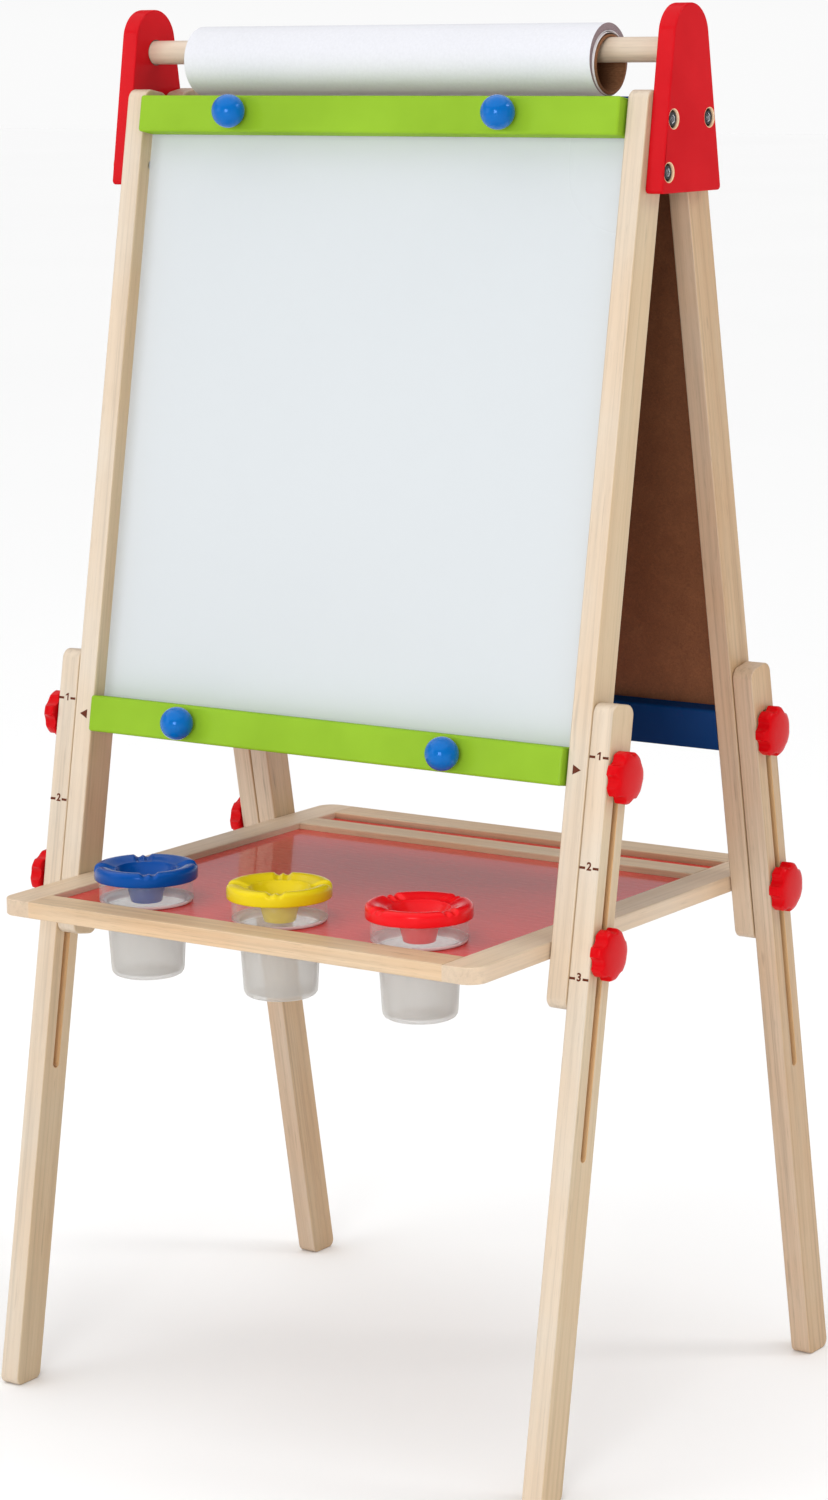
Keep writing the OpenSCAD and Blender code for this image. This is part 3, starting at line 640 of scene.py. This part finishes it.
def side_plate(name, sign, socket):
    """A plate that narrows towards a round top; socket is the depth of the dowel's hole."""
    top_r, foot_r, slope = 24 * MM, 3 * MM, 0.16
    low, high = local_box(name)
    middle, half = (low.y + high.y) / 2, (high.y - low.y) / 2
    top_half = half - (high.z - low.z) * slope
    outline = rounded(
        [(middle - half, low.z), (middle + half, low.z),
         (middle + top_half, high.z), (middle - top_half, high.z)],
        [foot_r, foot_r, top_r, top_r], step=math.radians(5))
    outer, inner = ("high", "low") if sign > 0 else ("low", "high")
    holes = [(circle((spot.y, spot.z), RECESS_R), RECESS_DEPTH, outer, 1)
             for spot in plate_bolt_spots()]
    dowel_low, dowel_high = local_box("roll_dowel")
    centre = ((dowel_low.y + dowel_high.y) / 2, (dowel_low.z + dowel_high.z) / 2)
    play = 0.06 * MM
    holes.append((circle(centre, (dowel_high.z - dowel_low.z) / 2 + play), socket, inner, 1))
    bm = bmesh.new()
    add_slab(bm, "X", outline, low.x, high.x, arris=1.2 * MM, holes=holes, rim=0.8 * MM)
    fine(name, bm, [RED_PAINT, RECESS_WOOD])


def add_socket_head(bm, place):
    """A socket head with a chamfered rim and a hexagon recess, its shank along -Z."""
    head_r, head_h, chamfer, shank = 5 * MM, 6 * MM, 0.5 * MM, 18 * MM
    hex_r, depth = 2.9 * MM, 3 * MM
    lip, mouth = (hex_r + 0.6 * MM, head_h), (hex_r + 0.3 * MM, head_h - 0.1 * MM)
    tip = -shank - 0.6 * MM
    add_lathe(bm, [(0, tip), (SHANK_R - chamfer, tip), (SHANK_R, -shank), (SHANK_R, 0),
                   (head_r, 0), (head_r, head_h - chamfer), (head_r - chamfer, head_h), lip],
              place, steps=36)
    add_lathe(bm, [lip, mouth], place, steps=36)

    def hexed(angle, radius, height):
        sector = math.remainder(angle, math.pi / 3)
        return radius * math.cos(math.pi / 6) / math.cos(sector), height

    add_lathe(bm, [mouth, (hex_r, head_h - 0.4 * MM), (hex_r, head_h - depth),
                   (0, head_h - depth - 0.8 * MM)], place, steps=36, shape=hexed, material=1)


def plate_bolts(name, frames):
    face = local_box("side_plate_right")[1].x
    bm = bmesh.new()
    for sign in (-1, 1):
        turn = Matrix.Rotation(math.pi / 2 * sign, 4, "Y")
        for number, spot in enumerate(plate_bolt_spots(frames)):
            seat = Vector((sign * (face - RECESS_DEPTH), spot.y, spot.z))
            spin = Matrix.Rotation(0.7 * number + 0.4 * sign, 4, "Z")   # no two heads alike
            add_socket_head(bm, Matrix.Translation(seat) @ turn @ spin)
    fine(name, bm, [BLACK_STEEL, BRIGHT_STEEL], weighted=False)


# ---------------------------------------------------------------- rails, boards and bars

def rail(name, space, material, radius=1.6 * MM):
    low, high = local_box(name, space)
    outline = box_outline(low.y, low.z, high.y, high.z, radius)
    bm = bmesh.new()
    add_slab(bm, "X", outline, low.x, high.x, arris=0.3 * MM)
    fine(name, bm, [material], space)


def board(name, space, post_name, film, outward):
    """A hardboard panel between the posts; outward is the sign of the Y side with the film."""
    groove = 1 * MM
    low, high = local_box(name, space)
    half = local_box(post_name, space)[0].x + groove
    outline = box_outline(-half, low.z, half, high.z)
    bm = bmesh.new()
    add_slab(bm, "Y", outline, low.y, high.y, arris=0.3 * MM, steps=2)
    paint_side(bm, 1, (low.y + high.y) / 2, outward)
    fine(name, bm, [HARDBOARD, film], space)


def paint_side(bm, axis, middle, sign):
    """Gives the flat faces on one side of the middle, along an axis, the second material."""
    bm.normal_update()
    for face in bm.faces:
        if (face.calc_center_median()[axis] - middle) * sign > 0 and abs(face.normal[axis]) > 0.9:
            face.material_index = 1


def clamp_bar(name):
    front_r, back_r = 2.2 * MM, 1 * MM
    low, high = local_box(name, FRONT)
    outline = rounded([(low.y, low.z), (high.y, low.z), (high.y, high.z), (low.y, high.z)],
                      [front_r, back_r, back_r, front_r])
    bm = bmesh.new()
    add_slab(bm, "X", outline, low.x, high.x, arris=1.8 * MM)
    fine(name, bm, [GREEN_PAINT], FRONT)


def ball_knob(name):
    """A painted ball on a stud; it faces out of the board."""
    low, high = local_box(name, FRONT)
    radius = (high.x - low.x) / 2
    centre = Vector(((low.x + high.x) / 2, low.y + radius, (low.z + high.z) / 2))
    flat, lip, chamfer, steps = 0.7 * MM, 0.5 * MM, 0.6 * MM, 28
    sweep = math.pi - math.acos((radius - flat) / radius)
    profile = [(0, radius)]
    for i in range(1, steps + 1):
        angle = sweep * i / steps
        profile.append((radius * math.sin(angle), radius * math.cos(angle)))
    seat = -radius + flat - 0.1 * MM
    profile += [(profile[-1][0] - lip, seat), (SHANK_R, seat)]
    turn = Matrix.Translation(centre) @ Matrix.Rotation(math.pi / 2, 4, "X")
    bm = bmesh.new()
    add_lathe(bm, profile, turn, steps=56)
    tip = centre.y - high.y
    stud = [(SHANK_R, seat), (SHANK_R, tip + chamfer), (SHANK_R - chamfer, tip), (0, tip)]
    add_lathe(bm, stud, turn, steps=24, material=1)
    fine(name, bm, [BALL_PAINT, BRIGHT_STEEL], FRONT, weighted=False)


# ---------------------------------------------------------------- clamp knobs

LOBES = 7
SCALLOP_OUT = 0.56        # where a notch's axis is, as a share of the knob's diameter
SCALLOP_R = 0.152         # a notch's radius, likewise
KNOB_DEPTH = 12 * MM
NECK_R = 7.7 * MM
NECK_H = 0.7 * MM         # how far the neck stands out of the knob's back
KNOB_TURNS = {            # in radians, so that the lobes lie as in the photo
    ("front", "right", "upper"): -0.03, ("front", "right", "lower"): 0.14,
    ("back", "right", "upper"): 0.09, ("back", "right", "lower"): 0.05,
    ("front", "left", "upper"): 0.30, ("front", "left", "lower"): -0.21,
    ("back", "left", "upper"): 0.38, ("back", "left", "lower"): 0.17}
# The back's and rim's profile, in shares of the radius and in mm of height
BACK_AND_RIM = [(0.62, 0.5), (0.9, 0.1), (0.965, 0.1), (0.99, 0.5), (1.0, 1.2), (1.0, 3.6)]
# The face's profile, in shares of the radius and of the depth
DOME = [(1.0, 0.6), (0.98, 0.68), (0.94, 0.755), (0.88, 0.825), (0.79, 0.885), (0.67, 0.93),
        (0.52, 0.963), (0.35, 0.983), (0.18, 0.996), (0.0, 1.0)]


def soft_min(a, b, reach):
    blend = max(0.0, reach - abs(a - b)) / reach
    return min(a, b) - blend * blend * reach / 4


def threaded(tip):
    """The profile of an M6 thread from the knob's neck down to its tip."""
    pitch, depth, lead = 1.0 * MM, 0.45 * MM, 3 * MM
    profile = [(SHANK_R, -NECK_H)]
    for i in range(int((tip - lead - pitch) / pitch)):
        foot = -lead - i * pitch
        profile += [(SHANK_R, foot), (SHANK_R - depth, foot - pitch / 2)]
    return profile + [(SHANK_R - 0.5 * MM, -tip), (0, -tip)]


def clamp_knob(name, space, sign, phase):
    low, high = local_box(name, space)
    axis = local_joint(name + "_turn", space)
    face_x = high.x if sign > 0 else low.x
    base = Vector((face_x - sign * KNOB_DEPTH, axis.y, axis.z))
    turn = (Matrix.Translation(base) @ Matrix.Rotation(sign * math.pi / 2, 4, "Y")
            @ Matrix.Rotation(phase, 4, "Z"))
    radius = (high.z - low.z) / 2
    out, cut = 2 * radius * SCALLOP_OUT, 2 * radius * SCALLOP_R

    def lobed(angle, r, z):
        off = out * math.sin(math.remainder(angle - math.pi / LOBES, math.tau / LOBES))
        if abs(off) >= cut:
            return r, z
        wall = math.sqrt(out * out - off * off) - math.sqrt(cut * cut - off * off)
        return soft_min(r, wall, 0.9 * MM), z

    profile = [(radius * r, z * MM) for r, z in BACK_AND_RIM]
    profile += smooth_profile([(radius * r, KNOB_DEPTH * z) for r, z in DOME])
    inner_r, top = profile[0]
    neck = [(inner_r, top), (NECK_R, top), (NECK_R, -NECK_H), (SHANK_R, -NECK_H)]
    bm = bmesh.new()
    add_lathe(bm, profile, turn, steps=LOBES * 20, shape=lobed)
    add_lathe(bm, neck, turn, steps=40)
    add_lathe(bm, threaded(high.x - low.x - KNOB_DEPTH), turn, steps=20, material=1)
    fine(name, bm, [KNOB_RED, BRIGHT_STEEL], space, sharp=50, weighted=False)


# ---------------------------------------------------------------- paper roll

def roll_dowel():
    low, high = local_box("roll_dowel")
    radius, end, chamfer = (high.z - low.z) / 2, high.x, 1 * MM
    spot = (0, low.y + radius, low.z + radius)
    place = Matrix.Translation(spot) @ Matrix.Rotation(math.pi / 2, 4, "Y")
    bm = bmesh.new()
    add_lathe(bm, [(0, -end), (radius - chamfer, -end), (radius, -end + chamfer),
                   (radius, end - chamfer), (radius - chamfer, end), (0, end)], place)
    fine("roll_dowel", bm, [wood("wood_dowel", "X", 21.0)], weighted=False)


def middle_and_halves(node):
    low, high = local_box(node)
    return (low + high) / 2, (high - low) / 2


def roll_core():
    wall, chamfer = 1.8 * MM, 0.3 * MM
    middle, half = middle_and_halves("roll_core")
    outer, end = half.z, half.x
    inner = outer - wall
    place = Matrix.Translation(middle) @ Matrix.Rotation(math.pi / 2, 4, "Y")
    bm = bmesh.new()
    add_lathe(bm, [(inner, -end + chamfer), (inner + chamfer, -end), (outer - chamfer, -end),
                   (outer, -end + chamfer), (outer, end - chamfer), (outer - chamfer, end),
                   (inner + chamfer, end), (inner, end - chamfer)],
              place, steps=72, closed=True)
    fine("roll_core", bm, [TUBE], weighted=False)


def paper_roll():
    """A tight bundle round a hole that is off its centre, loose wraps inside the hole, and a
    loose end below."""
    core, core_half = middle_and_halves("roll_core")
    middle, half = middle_and_halves("paper_roll")
    core_r, core_z, radius = core_half.z, core.z - middle.z, half.z
    loose, thinnest = 1.9 * MM, 0.5 * MM     # room round the core, and the bundle at its lowest
    hole_r = core_r + loose
    hole_z = hole_r + thinnest - radius
    end, edge = half.x - 1.7 * MM, 0.2 * MM  # the bundle is shorter than its core
    bm = bmesh.new()
    rings = [[bm.verts.new((x, p.y, z + p.x)) for p in circle((0, 0), r, 120)] for r, z, x in (
        (radius, 0.0, edge - end), (radius, 0.0, end - edge), (radius - edge, 0.0, end),
        (hole_r, hole_z, end), (hole_r, hole_z, -end), (radius - edge, 0.0, -end))]
    for index in range(6):
        skin(bm, [rings[index], rings[(index + 1) % 6]], 0 if index in (0, 3) else 1)

    turns, steps, sheet, first_angle = 2, 96, 0.35 * MM, 0.6
    clearance, set_back, waver = 0.25 * MM, 0.9 * MM, 0.35 * MM
    strip = []
    for i in range(turns * steps + 1):
        share = i / (turns * steps)
        angle = math.tau * i / steps + first_angle
        wrap_r = core_r + clearance + share * (loose - sheet - 2 * clearance)
        wrap_z = core_z + (hole_z - core_z) * share
        wrap_end = half.x - set_back * share - waver * (1 + math.sin(angle * 0.7))
        strip.append([
            bm.verts.new((x, r * math.sin(angle), wrap_z + r * math.cos(angle))) for x, r in (
                (-wrap_end, wrap_r), (wrap_end, wrap_r),
                (wrap_end, wrap_r + sheet), (-wrap_end, wrap_r + sheet))])
    add_sheet(bm, strip, 2)

    reach, sag, gap, steps, sheet = 5 * MM, 2.4 * MM, 0.05 * MM, 8, 0.3 * MM
    tail = []
    for i in range(steps + 1):
        share = i / steps
        z = -radius - gap - sag * share * share
        tail.append([bm.verts.new((x, -reach * share, z + up)) for x, up in (
            (-end, 0), (end, 0), (end, sheet), (-end, sheet))])
    add_sheet(bm, tail, 0)
    fine("paper_roll", bm, [PAPER, SHADED_PAPER_EDGE, LOOSE_PAPER], Matrix.Translation(middle),
         weighted=False)


def add_sheet(bm, strip, material):
    """A strip of cross-sections closed at both ends."""
    skin(bm, strip, material)
    bm.faces.new(strip[0])
    bm.faces.new(strip[-1])


# ---------------------------------------------------------------- tray

def tray_side(name, sign, seed):
    corner_r = 15 * MM
    low, high = local_box(name)
    corners = [(low.x, low.y), (high.x, low.y), (high.x, high.y), (low.x, high.y)]
    radii = [0.0, corner_r, corner_r, 0.0] if sign > 0 else [corner_r, 0.0, 0.0, corner_r]
    bm = bmesh.new()
    add_slab(bm, "Z", rounded(corners, radii), low.z, high.z, arris=1.0 * MM)
    fine(name, bm, [toned_wood(name, "Y", seed, "side")])


def tray_cross(name, seed):
    low, high = local_box(name)
    outline = box_outline(low.y, low.z, high.y, high.z, radius=1.1 * MM)
    bm = bmesh.new()
    add_slab(bm, "X", outline, low.x, high.x, arris=0.0)
    fine(name, bm, [toned_wood(name, "X", seed, "cross")])


def tray_panel(name, front_rail, back_rail, cups=()):
    """A panel between two cross rails, with its edges in their grooves."""
    groove = 0.4 * MM
    low, high = local_box(name)
    side = local_box("tray_side_right")[0].x + groove
    front = local_box(front_rail)[1].y - groove
    back = local_box(back_rail)[0].y + groove
    outline = box_outline(-side, front, side, back)
    holes = [(circle(cup_axis(cup), CUP_HOLE_R, steps=72), None, "low", 0) for cup in cups]
    bm = bmesh.new()
    add_slab(bm, "Z", outline, low.z, high.z, arris=0.2 * MM, holes=holes, steps=2)
    paint_side(bm, 2, (low.z + high.z) / 2, -1)
    fine(name, bm, [PANEL_RED, HARDBOARD])


# ---------------------------------------------------------------- cups and lids

LID_TURNS = {"blue": 41.8, "yellow": 31.4, "red": 71.2}   # of the brush notches, degrees


def cup_axis(cup):
    low, high = local_box("cup_" + cup)
    return (low.x + high.x) / 2, (low.y + high.y) / 2


def cup(name):
    """Thin wall: a clear upper band, a white shoulder that rests on the panel, and a frosted
    body. Radii and heights in mm, from the cup's base."""
    low, high = local_box("cup_" + name)
    band, rise = (high.x - low.x) / 2 / MM, (high.z - low.z) / MM
    drop, wall, neck, foot = 56, 1.6, 30.5, 27.5     # drop is the shoulder's height
    parts = [
        ([(0, 1.2), (foot - 10, 1.2), (foot - 8, 0.2), (foot - 6, 0), (foot - 3.6, 0.3),
          (foot - 1.6, 1.4), (foot - 0.4, 3.2), (foot, 5.6), (neck - 0.2, drop - 3)], 2),
        ([(neck, drop - 0.5), (neck + 1, drop), (band - 2.4, drop), (band - 1.0, drop + 0.5),
          (band - 0.2, drop + 1.6)], 1),
        ([(band, drop + 3), (band - 0.5, rise - 0.4), (band - 0.8, rise), (band - 1.8, rise),
          (band - 2.1, rise - 0.4), (band - wall, drop + 3.6)], 0),
        ([(band - wall - 0.8, drop + 2.2), (band - wall - 2.4, drop + wall),
          (neck - wall + 1.4, drop + wall), (neck - wall, drop + 0.6)], 1),
        ([(neck - wall - 0.3, drop - 3), (foot - wall, 6), (foot - wall - 1.4, 3.6),
          (foot - wall - 4, 2.6), (0, 2.6)], 2)]
    profile = [(r * MM, z * MM) for points, _ in parts for r, z in points]
    surface = [number for points, number in parts for _ in points]
    bm = bmesh.new()
    place = Matrix.Translation((*cup_axis(name), low.z))
    add_lathe(bm, profile, place, steps=80, material=lambda i: surface[i])
    fine("cup_" + name, bm, [CUP_BAND, CUP_SHOULDER, CUP_BODY], sharp=60, weighted=False)


def lid(name, phase):
    """Thick rim with four W-shaped brush notches, a dish down to a crisp mouth, and a funnel
    into the cup. Radii and heights in mm, from the lid's top."""
    outside = [
        (35.8, -10.8), (38.3, -10.8), (38.8, -10.5), (39.0, -9.9), (39.0, -4.0), (38.85, -2.9),
        (38.4, -1.8), (37.6, -0.9), (36.5, -0.3), (35.2, 0.0), (33.4, 0.0), (31.6, -0.25),
        (29.8, -0.8), (27.6, -1.7), (25.4, -2.7), (24.0, -3.2), (23.3, -3.3), (22.8, -3.4),
        (22.5, -3.8), (22.1, -4.8), (21.2, -6.0), (19.0, -8.2), (16.4, -10.6), (14.5, -12.6),
        (13.5, -14.6), (12.6, -18.4), (11.3, -24.0), (10.3, -28.2)]
    inside = [
        (10.6, -28.6), (11.4, -28.6), (11.9, -28.2), (12.9, -24.0), (14.3, -18.2), (15.3, -14.4),
        (17.8, -11.6), (21.6, -8.0), (24.2, -5.4), (27.6, -4.8), (33.0, -4.8), (35.8, -5.2)]
    mouth, rim_low, fade_in, fade_up = 21.0, -6.4, 5.0, 4.6    # a notch fades in over these
    deepest, outer_slope, inner_slope, depth = 3.5, 3.9, 5.6, 2.3

    def notched(angle, r, z):
        across = abs(r * math.sin(math.remainder(angle, math.tau / 4)))
        if r >= mouth and z >= rim_low and across <= deepest + outer_slope:
            away = across - deepest
            dip = max(0.0, 1 - abs(away) / (outer_slope if away > 0 else inner_slope))
            inwards = min(1.0, (r - mouth) / fade_in)
            upwards = min(1.0, (z - rim_low) / fade_up)
            z -= depth * dip * dip * (3 - 2 * dip) * inwards * upwards * upwards
        return r, z

    x, y = cup_axis(name)
    place = (Matrix.Translation((x, y, local_box("lid_" + name)[1].z))
             @ Matrix.Rotation(phase, 4, "Z") @ Matrix.Scale(MM, 4))
    bm = bmesh.new()
    add_lathe(bm, outside + inside, place, steps=240, shape=notched, closed=True)
    fine("lid_" + name, bm, [LID_COLOURS[name]], sharp=70, weighted=False)


# ---------------------------------------------------------------- printed marks

MARK_DROPS = (37.5 * MM, 115.9 * MM, 194.4 * MM)   # scale marks below the leg's top
ARROW_DROP = 480.5 * MM   # arrows below the post's top
DIGIT_SIZE = 8 * MM
STROKE_GROWTH = 0.28 * MM   # makes the font's strokes bolder
FIGURE_ONE = [(0.0, -2.9), (1.25, -2.9), (1.25, 2.9), (0.25, 2.9), (-1.6, 1.5), (-1.6, 0.5),
              (0.0, 1.2)]
DASH = [(3.1, -1.9), (7.9, -1.9), (7.9, -0.1), (3.1, -0.1)]
ARROW = [(-3.4, -3.6), (3.4, 0), (-3.4, 3.6)]
INK_PROUD = 0.04 * MM


def digit_mesh(text):
    """A digit's filled outline, centred on the origin in the X-Y plane."""
    data = bpy.data.curves.new("digit_" + text, "FONT")
    data.body = text
    data.size = DIGIT_SIZE
    data.offset = STROKE_GROWTH
    data.align_x = data.align_y = "CENTER"
    data.resolution_u = 4
    maker = add_object("digit_" + text, data)
    bpy.context.view_layer.update()
    mesh = bpy.data.meshes.new_from_object(
        maker.evaluated_get(bpy.context.evaluated_depsgraph_get()))
    bpy.data.objects.remove(maker)
    return mesh


def add_flat(bm, points, place, sign=1):
    """A face through points in mm, mirrored in X where the sign is -1."""
    bm.faces.new([bm.verts.new(place @ Vector((sign * x * MM, y * MM, 0))) for x, y in points])


def print_marks(prefix, node, space, drops, draw):
    """Calls draw(bm, place, number) at each drop below the top of the node's outer face, and
    gives the ink a body that reaches back into the wood."""
    low, high = local_box(node, space)
    outward = -1 if space is FRONT else 1
    face_y = low.y - INK_PROUD if space is FRONT else high.y + INK_PROUD
    turn = Matrix.Rotation(math.pi / 2, 4, "X")
    if space is BACK:
        turn = Matrix.Rotation(math.pi, 4, "Z") @ turn
    bm = bmesh.new()
    for number, drop in enumerate(drops, 1):
        spot = ((low.x + high.x) / 2, face_y, high.z - drop)
        draw(bm, Matrix.Translation(spot) @ turn, number)
    made = bmesh.ops.extrude_face_region(bm, geom=bm.faces[:])
    moved = [item for item in made["geom"] if isinstance(item, bmesh.types.BMVert)]
    bmesh.ops.translate(bm, verts=moved, vec=(0, -outward * INK_PROUD * 2, 0))
    piece(prefix + node, bm, [INK], node, space, weighted=False)


def draw_figure(bm, place, number):
    if number == 1:
        add_flat(bm, FIGURE_ONE, place)
    else:
        digit = digit_mesh(str(number))
        digit.transform(place)
        bm.from_mesh(digit)
    for sign in (-1, 1):
        add_flat(bm, DASH, place, sign)


# ---------------------------------------------------------------- building it all

def build():
    seeds = iter(range(1, 60))
    for side, space in (("front", FRONT), ("back", BACK)):
        for hand, sign in (("left", -1), ("right", 1)):
            post(side, hand, space, next(seeds))
            leg(side, hand, space, next(seeds))
            print_marks("marks_", f"leg_{side}_{hand}", space, MARK_DROPS, draw_figure)
            outwards = sign if space is FRONT else -sign
            print_marks("arrow_", f"{side}_post_{hand}", space, [ARROW_DROP],
                        lambda bm, place, _: add_flat(bm, ARROW, place, outwards))
            for level in ("upper", "lower"):
                clamp_knob(f"knob_{side}_{hand}_{level}", space, sign,
                           KNOB_TURNS[side, hand, level])
    side_plate("side_plate_left", -1, socket=11.5 * MM)
    side_plate("side_plate_right", 1, socket=6 * MM)
    plate_bolts("front_plate_bolts", ("front",))
    plate_bolts("pivot_bolts", ("back",))
    for name in ("front_top_rail", "front_bottom_rail"):
        rail(name, FRONT, wood("wood_" + name, "X", next(seeds)))
    for name in ("back_top_rail", "back_bottom_rail"):
        rail(name, BACK, NAVY_PAINT, radius=2 * MM)
    board("whiteboard", FRONT, "front_post_right", WHITE_FILM, -1)
    board("chalkboard", BACK, "back_post_right", CHALK, 1)
    for level in ("upper", "lower"):
        clamp_bar(level + "_clamp_bar")
    for level in ("upper", "lower"):
        for hand in ("left", "right"):
            ball_knob(f"ball_{level}_{hand}")
    roll_dowel()
    roll_core()
    paper_roll()
    tray_side("tray_side_left", -1, next(seeds))
    tray_side("tray_side_right", 1, next(seeds))
    for name in ("tray_front_rail", "tray_back_rail", "tray_divider"):
        tray_cross(name, next(seeds))
    tray_panel("tray_panel", "tray_front_rail", "tray_divider", LID_TURNS)
    tray_panel("trough_panel", "tray_divider", "tray_back_rail")
    for name, turn in LID_TURNS.items():
        cup(name)
        lid(name, math.radians(turn))

    # The inner nodes that no piece replaces
    pins = wood("wood_pins", "X", 40.0)
    inner = {"front_post_inserts": BRASS, "back_post_inserts": BRASS, "ball_stud_inserts": BRASS,
             "tray_inserts": BRASS, "front_rail_dowels": pins, "back_rail_dowels": pins,
             "tray_pins": pins}
    for name, made in inner.items():
        mesh = frame["nodes"][name].data
        mesh.materials.clear()
        mesh.materials.append(made)


# ---------------------------------------------------------------- camera, floor and light

# Solved from the photo's perspective
LENS = 93.35
CAMERA_PLACE = (1.6530, -2.3956, 1.0355)
YAW, PITCH, ROLL = math.radians(34.43), math.radians(-10.55), math.radians(-0.62)

FLOOR_REACH = 30.0
# Brightness of the surroundings against the height of the direction, from level to straight up
SKY = [(0.0, 0.96), (0.05, 0.90), (0.15, 0.50), (0.45, 0.36), (1.0, 0.48)]
# Name: place, what it faces, side length, power in watts
AREA_LIGHTS = {
    "key": ((1.25, -3.35, 1.2), (0, 0, 0.6), 1.1, 40),
    "fill": ((-1.9, -2.8, 1.6), (0, 0, 0.6), 1.6, 10),
    "strip": ((2.2, 1.1, 2.4), (0.1, 0, 0.45), 0.7, 13),
}
OVERHEAD_STRENGTH, OVERHEAD_SPREAD = 1.88, math.radians(100)
OVERHEAD_TURN = (math.radians(8), math.radians(-6), 0)


def add_camera():
    data = bpy.data.cameras.new("camera")
    data.lens = LENS
    data.clip_end = 2 * FLOOR_REACH
    camera = add_object("camera", data)
    camera.matrix_world = (
        Matrix.Translation(CAMERA_PLACE) @ Matrix.Rotation(YAW, 4, "Z")
        @ Matrix.Rotation(math.pi / 2 + PITCH, 4, "X") @ Matrix.Rotation(ROLL, 4, "Z"))
    bpy.context.scene.camera = camera


def add_floor():
    mesh = bpy.data.meshes.new("floor")
    bm = bmesh.new()
    corners = ((-1, -1), (1, -1), (1, 1), (-1, 1))
    bm.faces.new([bm.verts.new((x * FLOOR_REACH, y * FLOOR_REACH, 0)) for x, y in corners])
    bm.to_mesh(mesh)
    bm.free()
    made, tree, shader = blank("floor_paint", Roughness=0.9, Specular_IOR_Level=0.1)
    wire(tree, shader, Base_Color=ramp(tree, noise(tree, 0.6, 2.0), (0.3, 0.94), (0.7, 0.95)))
    mesh.materials.append(made)
    floor = add_object("floor", mesh)


def add_lights():
    world = bpy.data.worlds.new("studio")
    bpy.context.scene.world = world
    world.use_nodes = True
    tree = world.node_tree
    direction = node(tree, "TexCoord").outputs["Generated"]
    up = node(tree, "SeparateXYZ", {"Vector": direction}).outputs["Z"]
    wire(tree, tree.nodes["Background"], Color=ramp(tree, up, *SKY))
    for name, (place, target, side, power) in AREA_LIGHTS.items():
        data = bpy.data.lights.new(name, "AREA")
        data.shape = "SQUARE"
        data.size = side
        data.energy = power
        lamp = add_object(name, data)
        lamp.location = place
        aim = Vector(target) - Vector(place)
        lamp.rotation_euler = aim.to_track_quat("-Z", "Y").to_euler()
    data = bpy.data.lights.new("overhead", "SUN")
    data.energy = OVERHEAD_STRENGTH
    data.angle = OVERHEAD_SPREAD
    add_object("overhead", data).rotation_euler = OVERHEAD_TURN


build()
add_camera()
add_floor()
add_lights()
bpy.context.scene.view_settings.view_transform = "Standard"
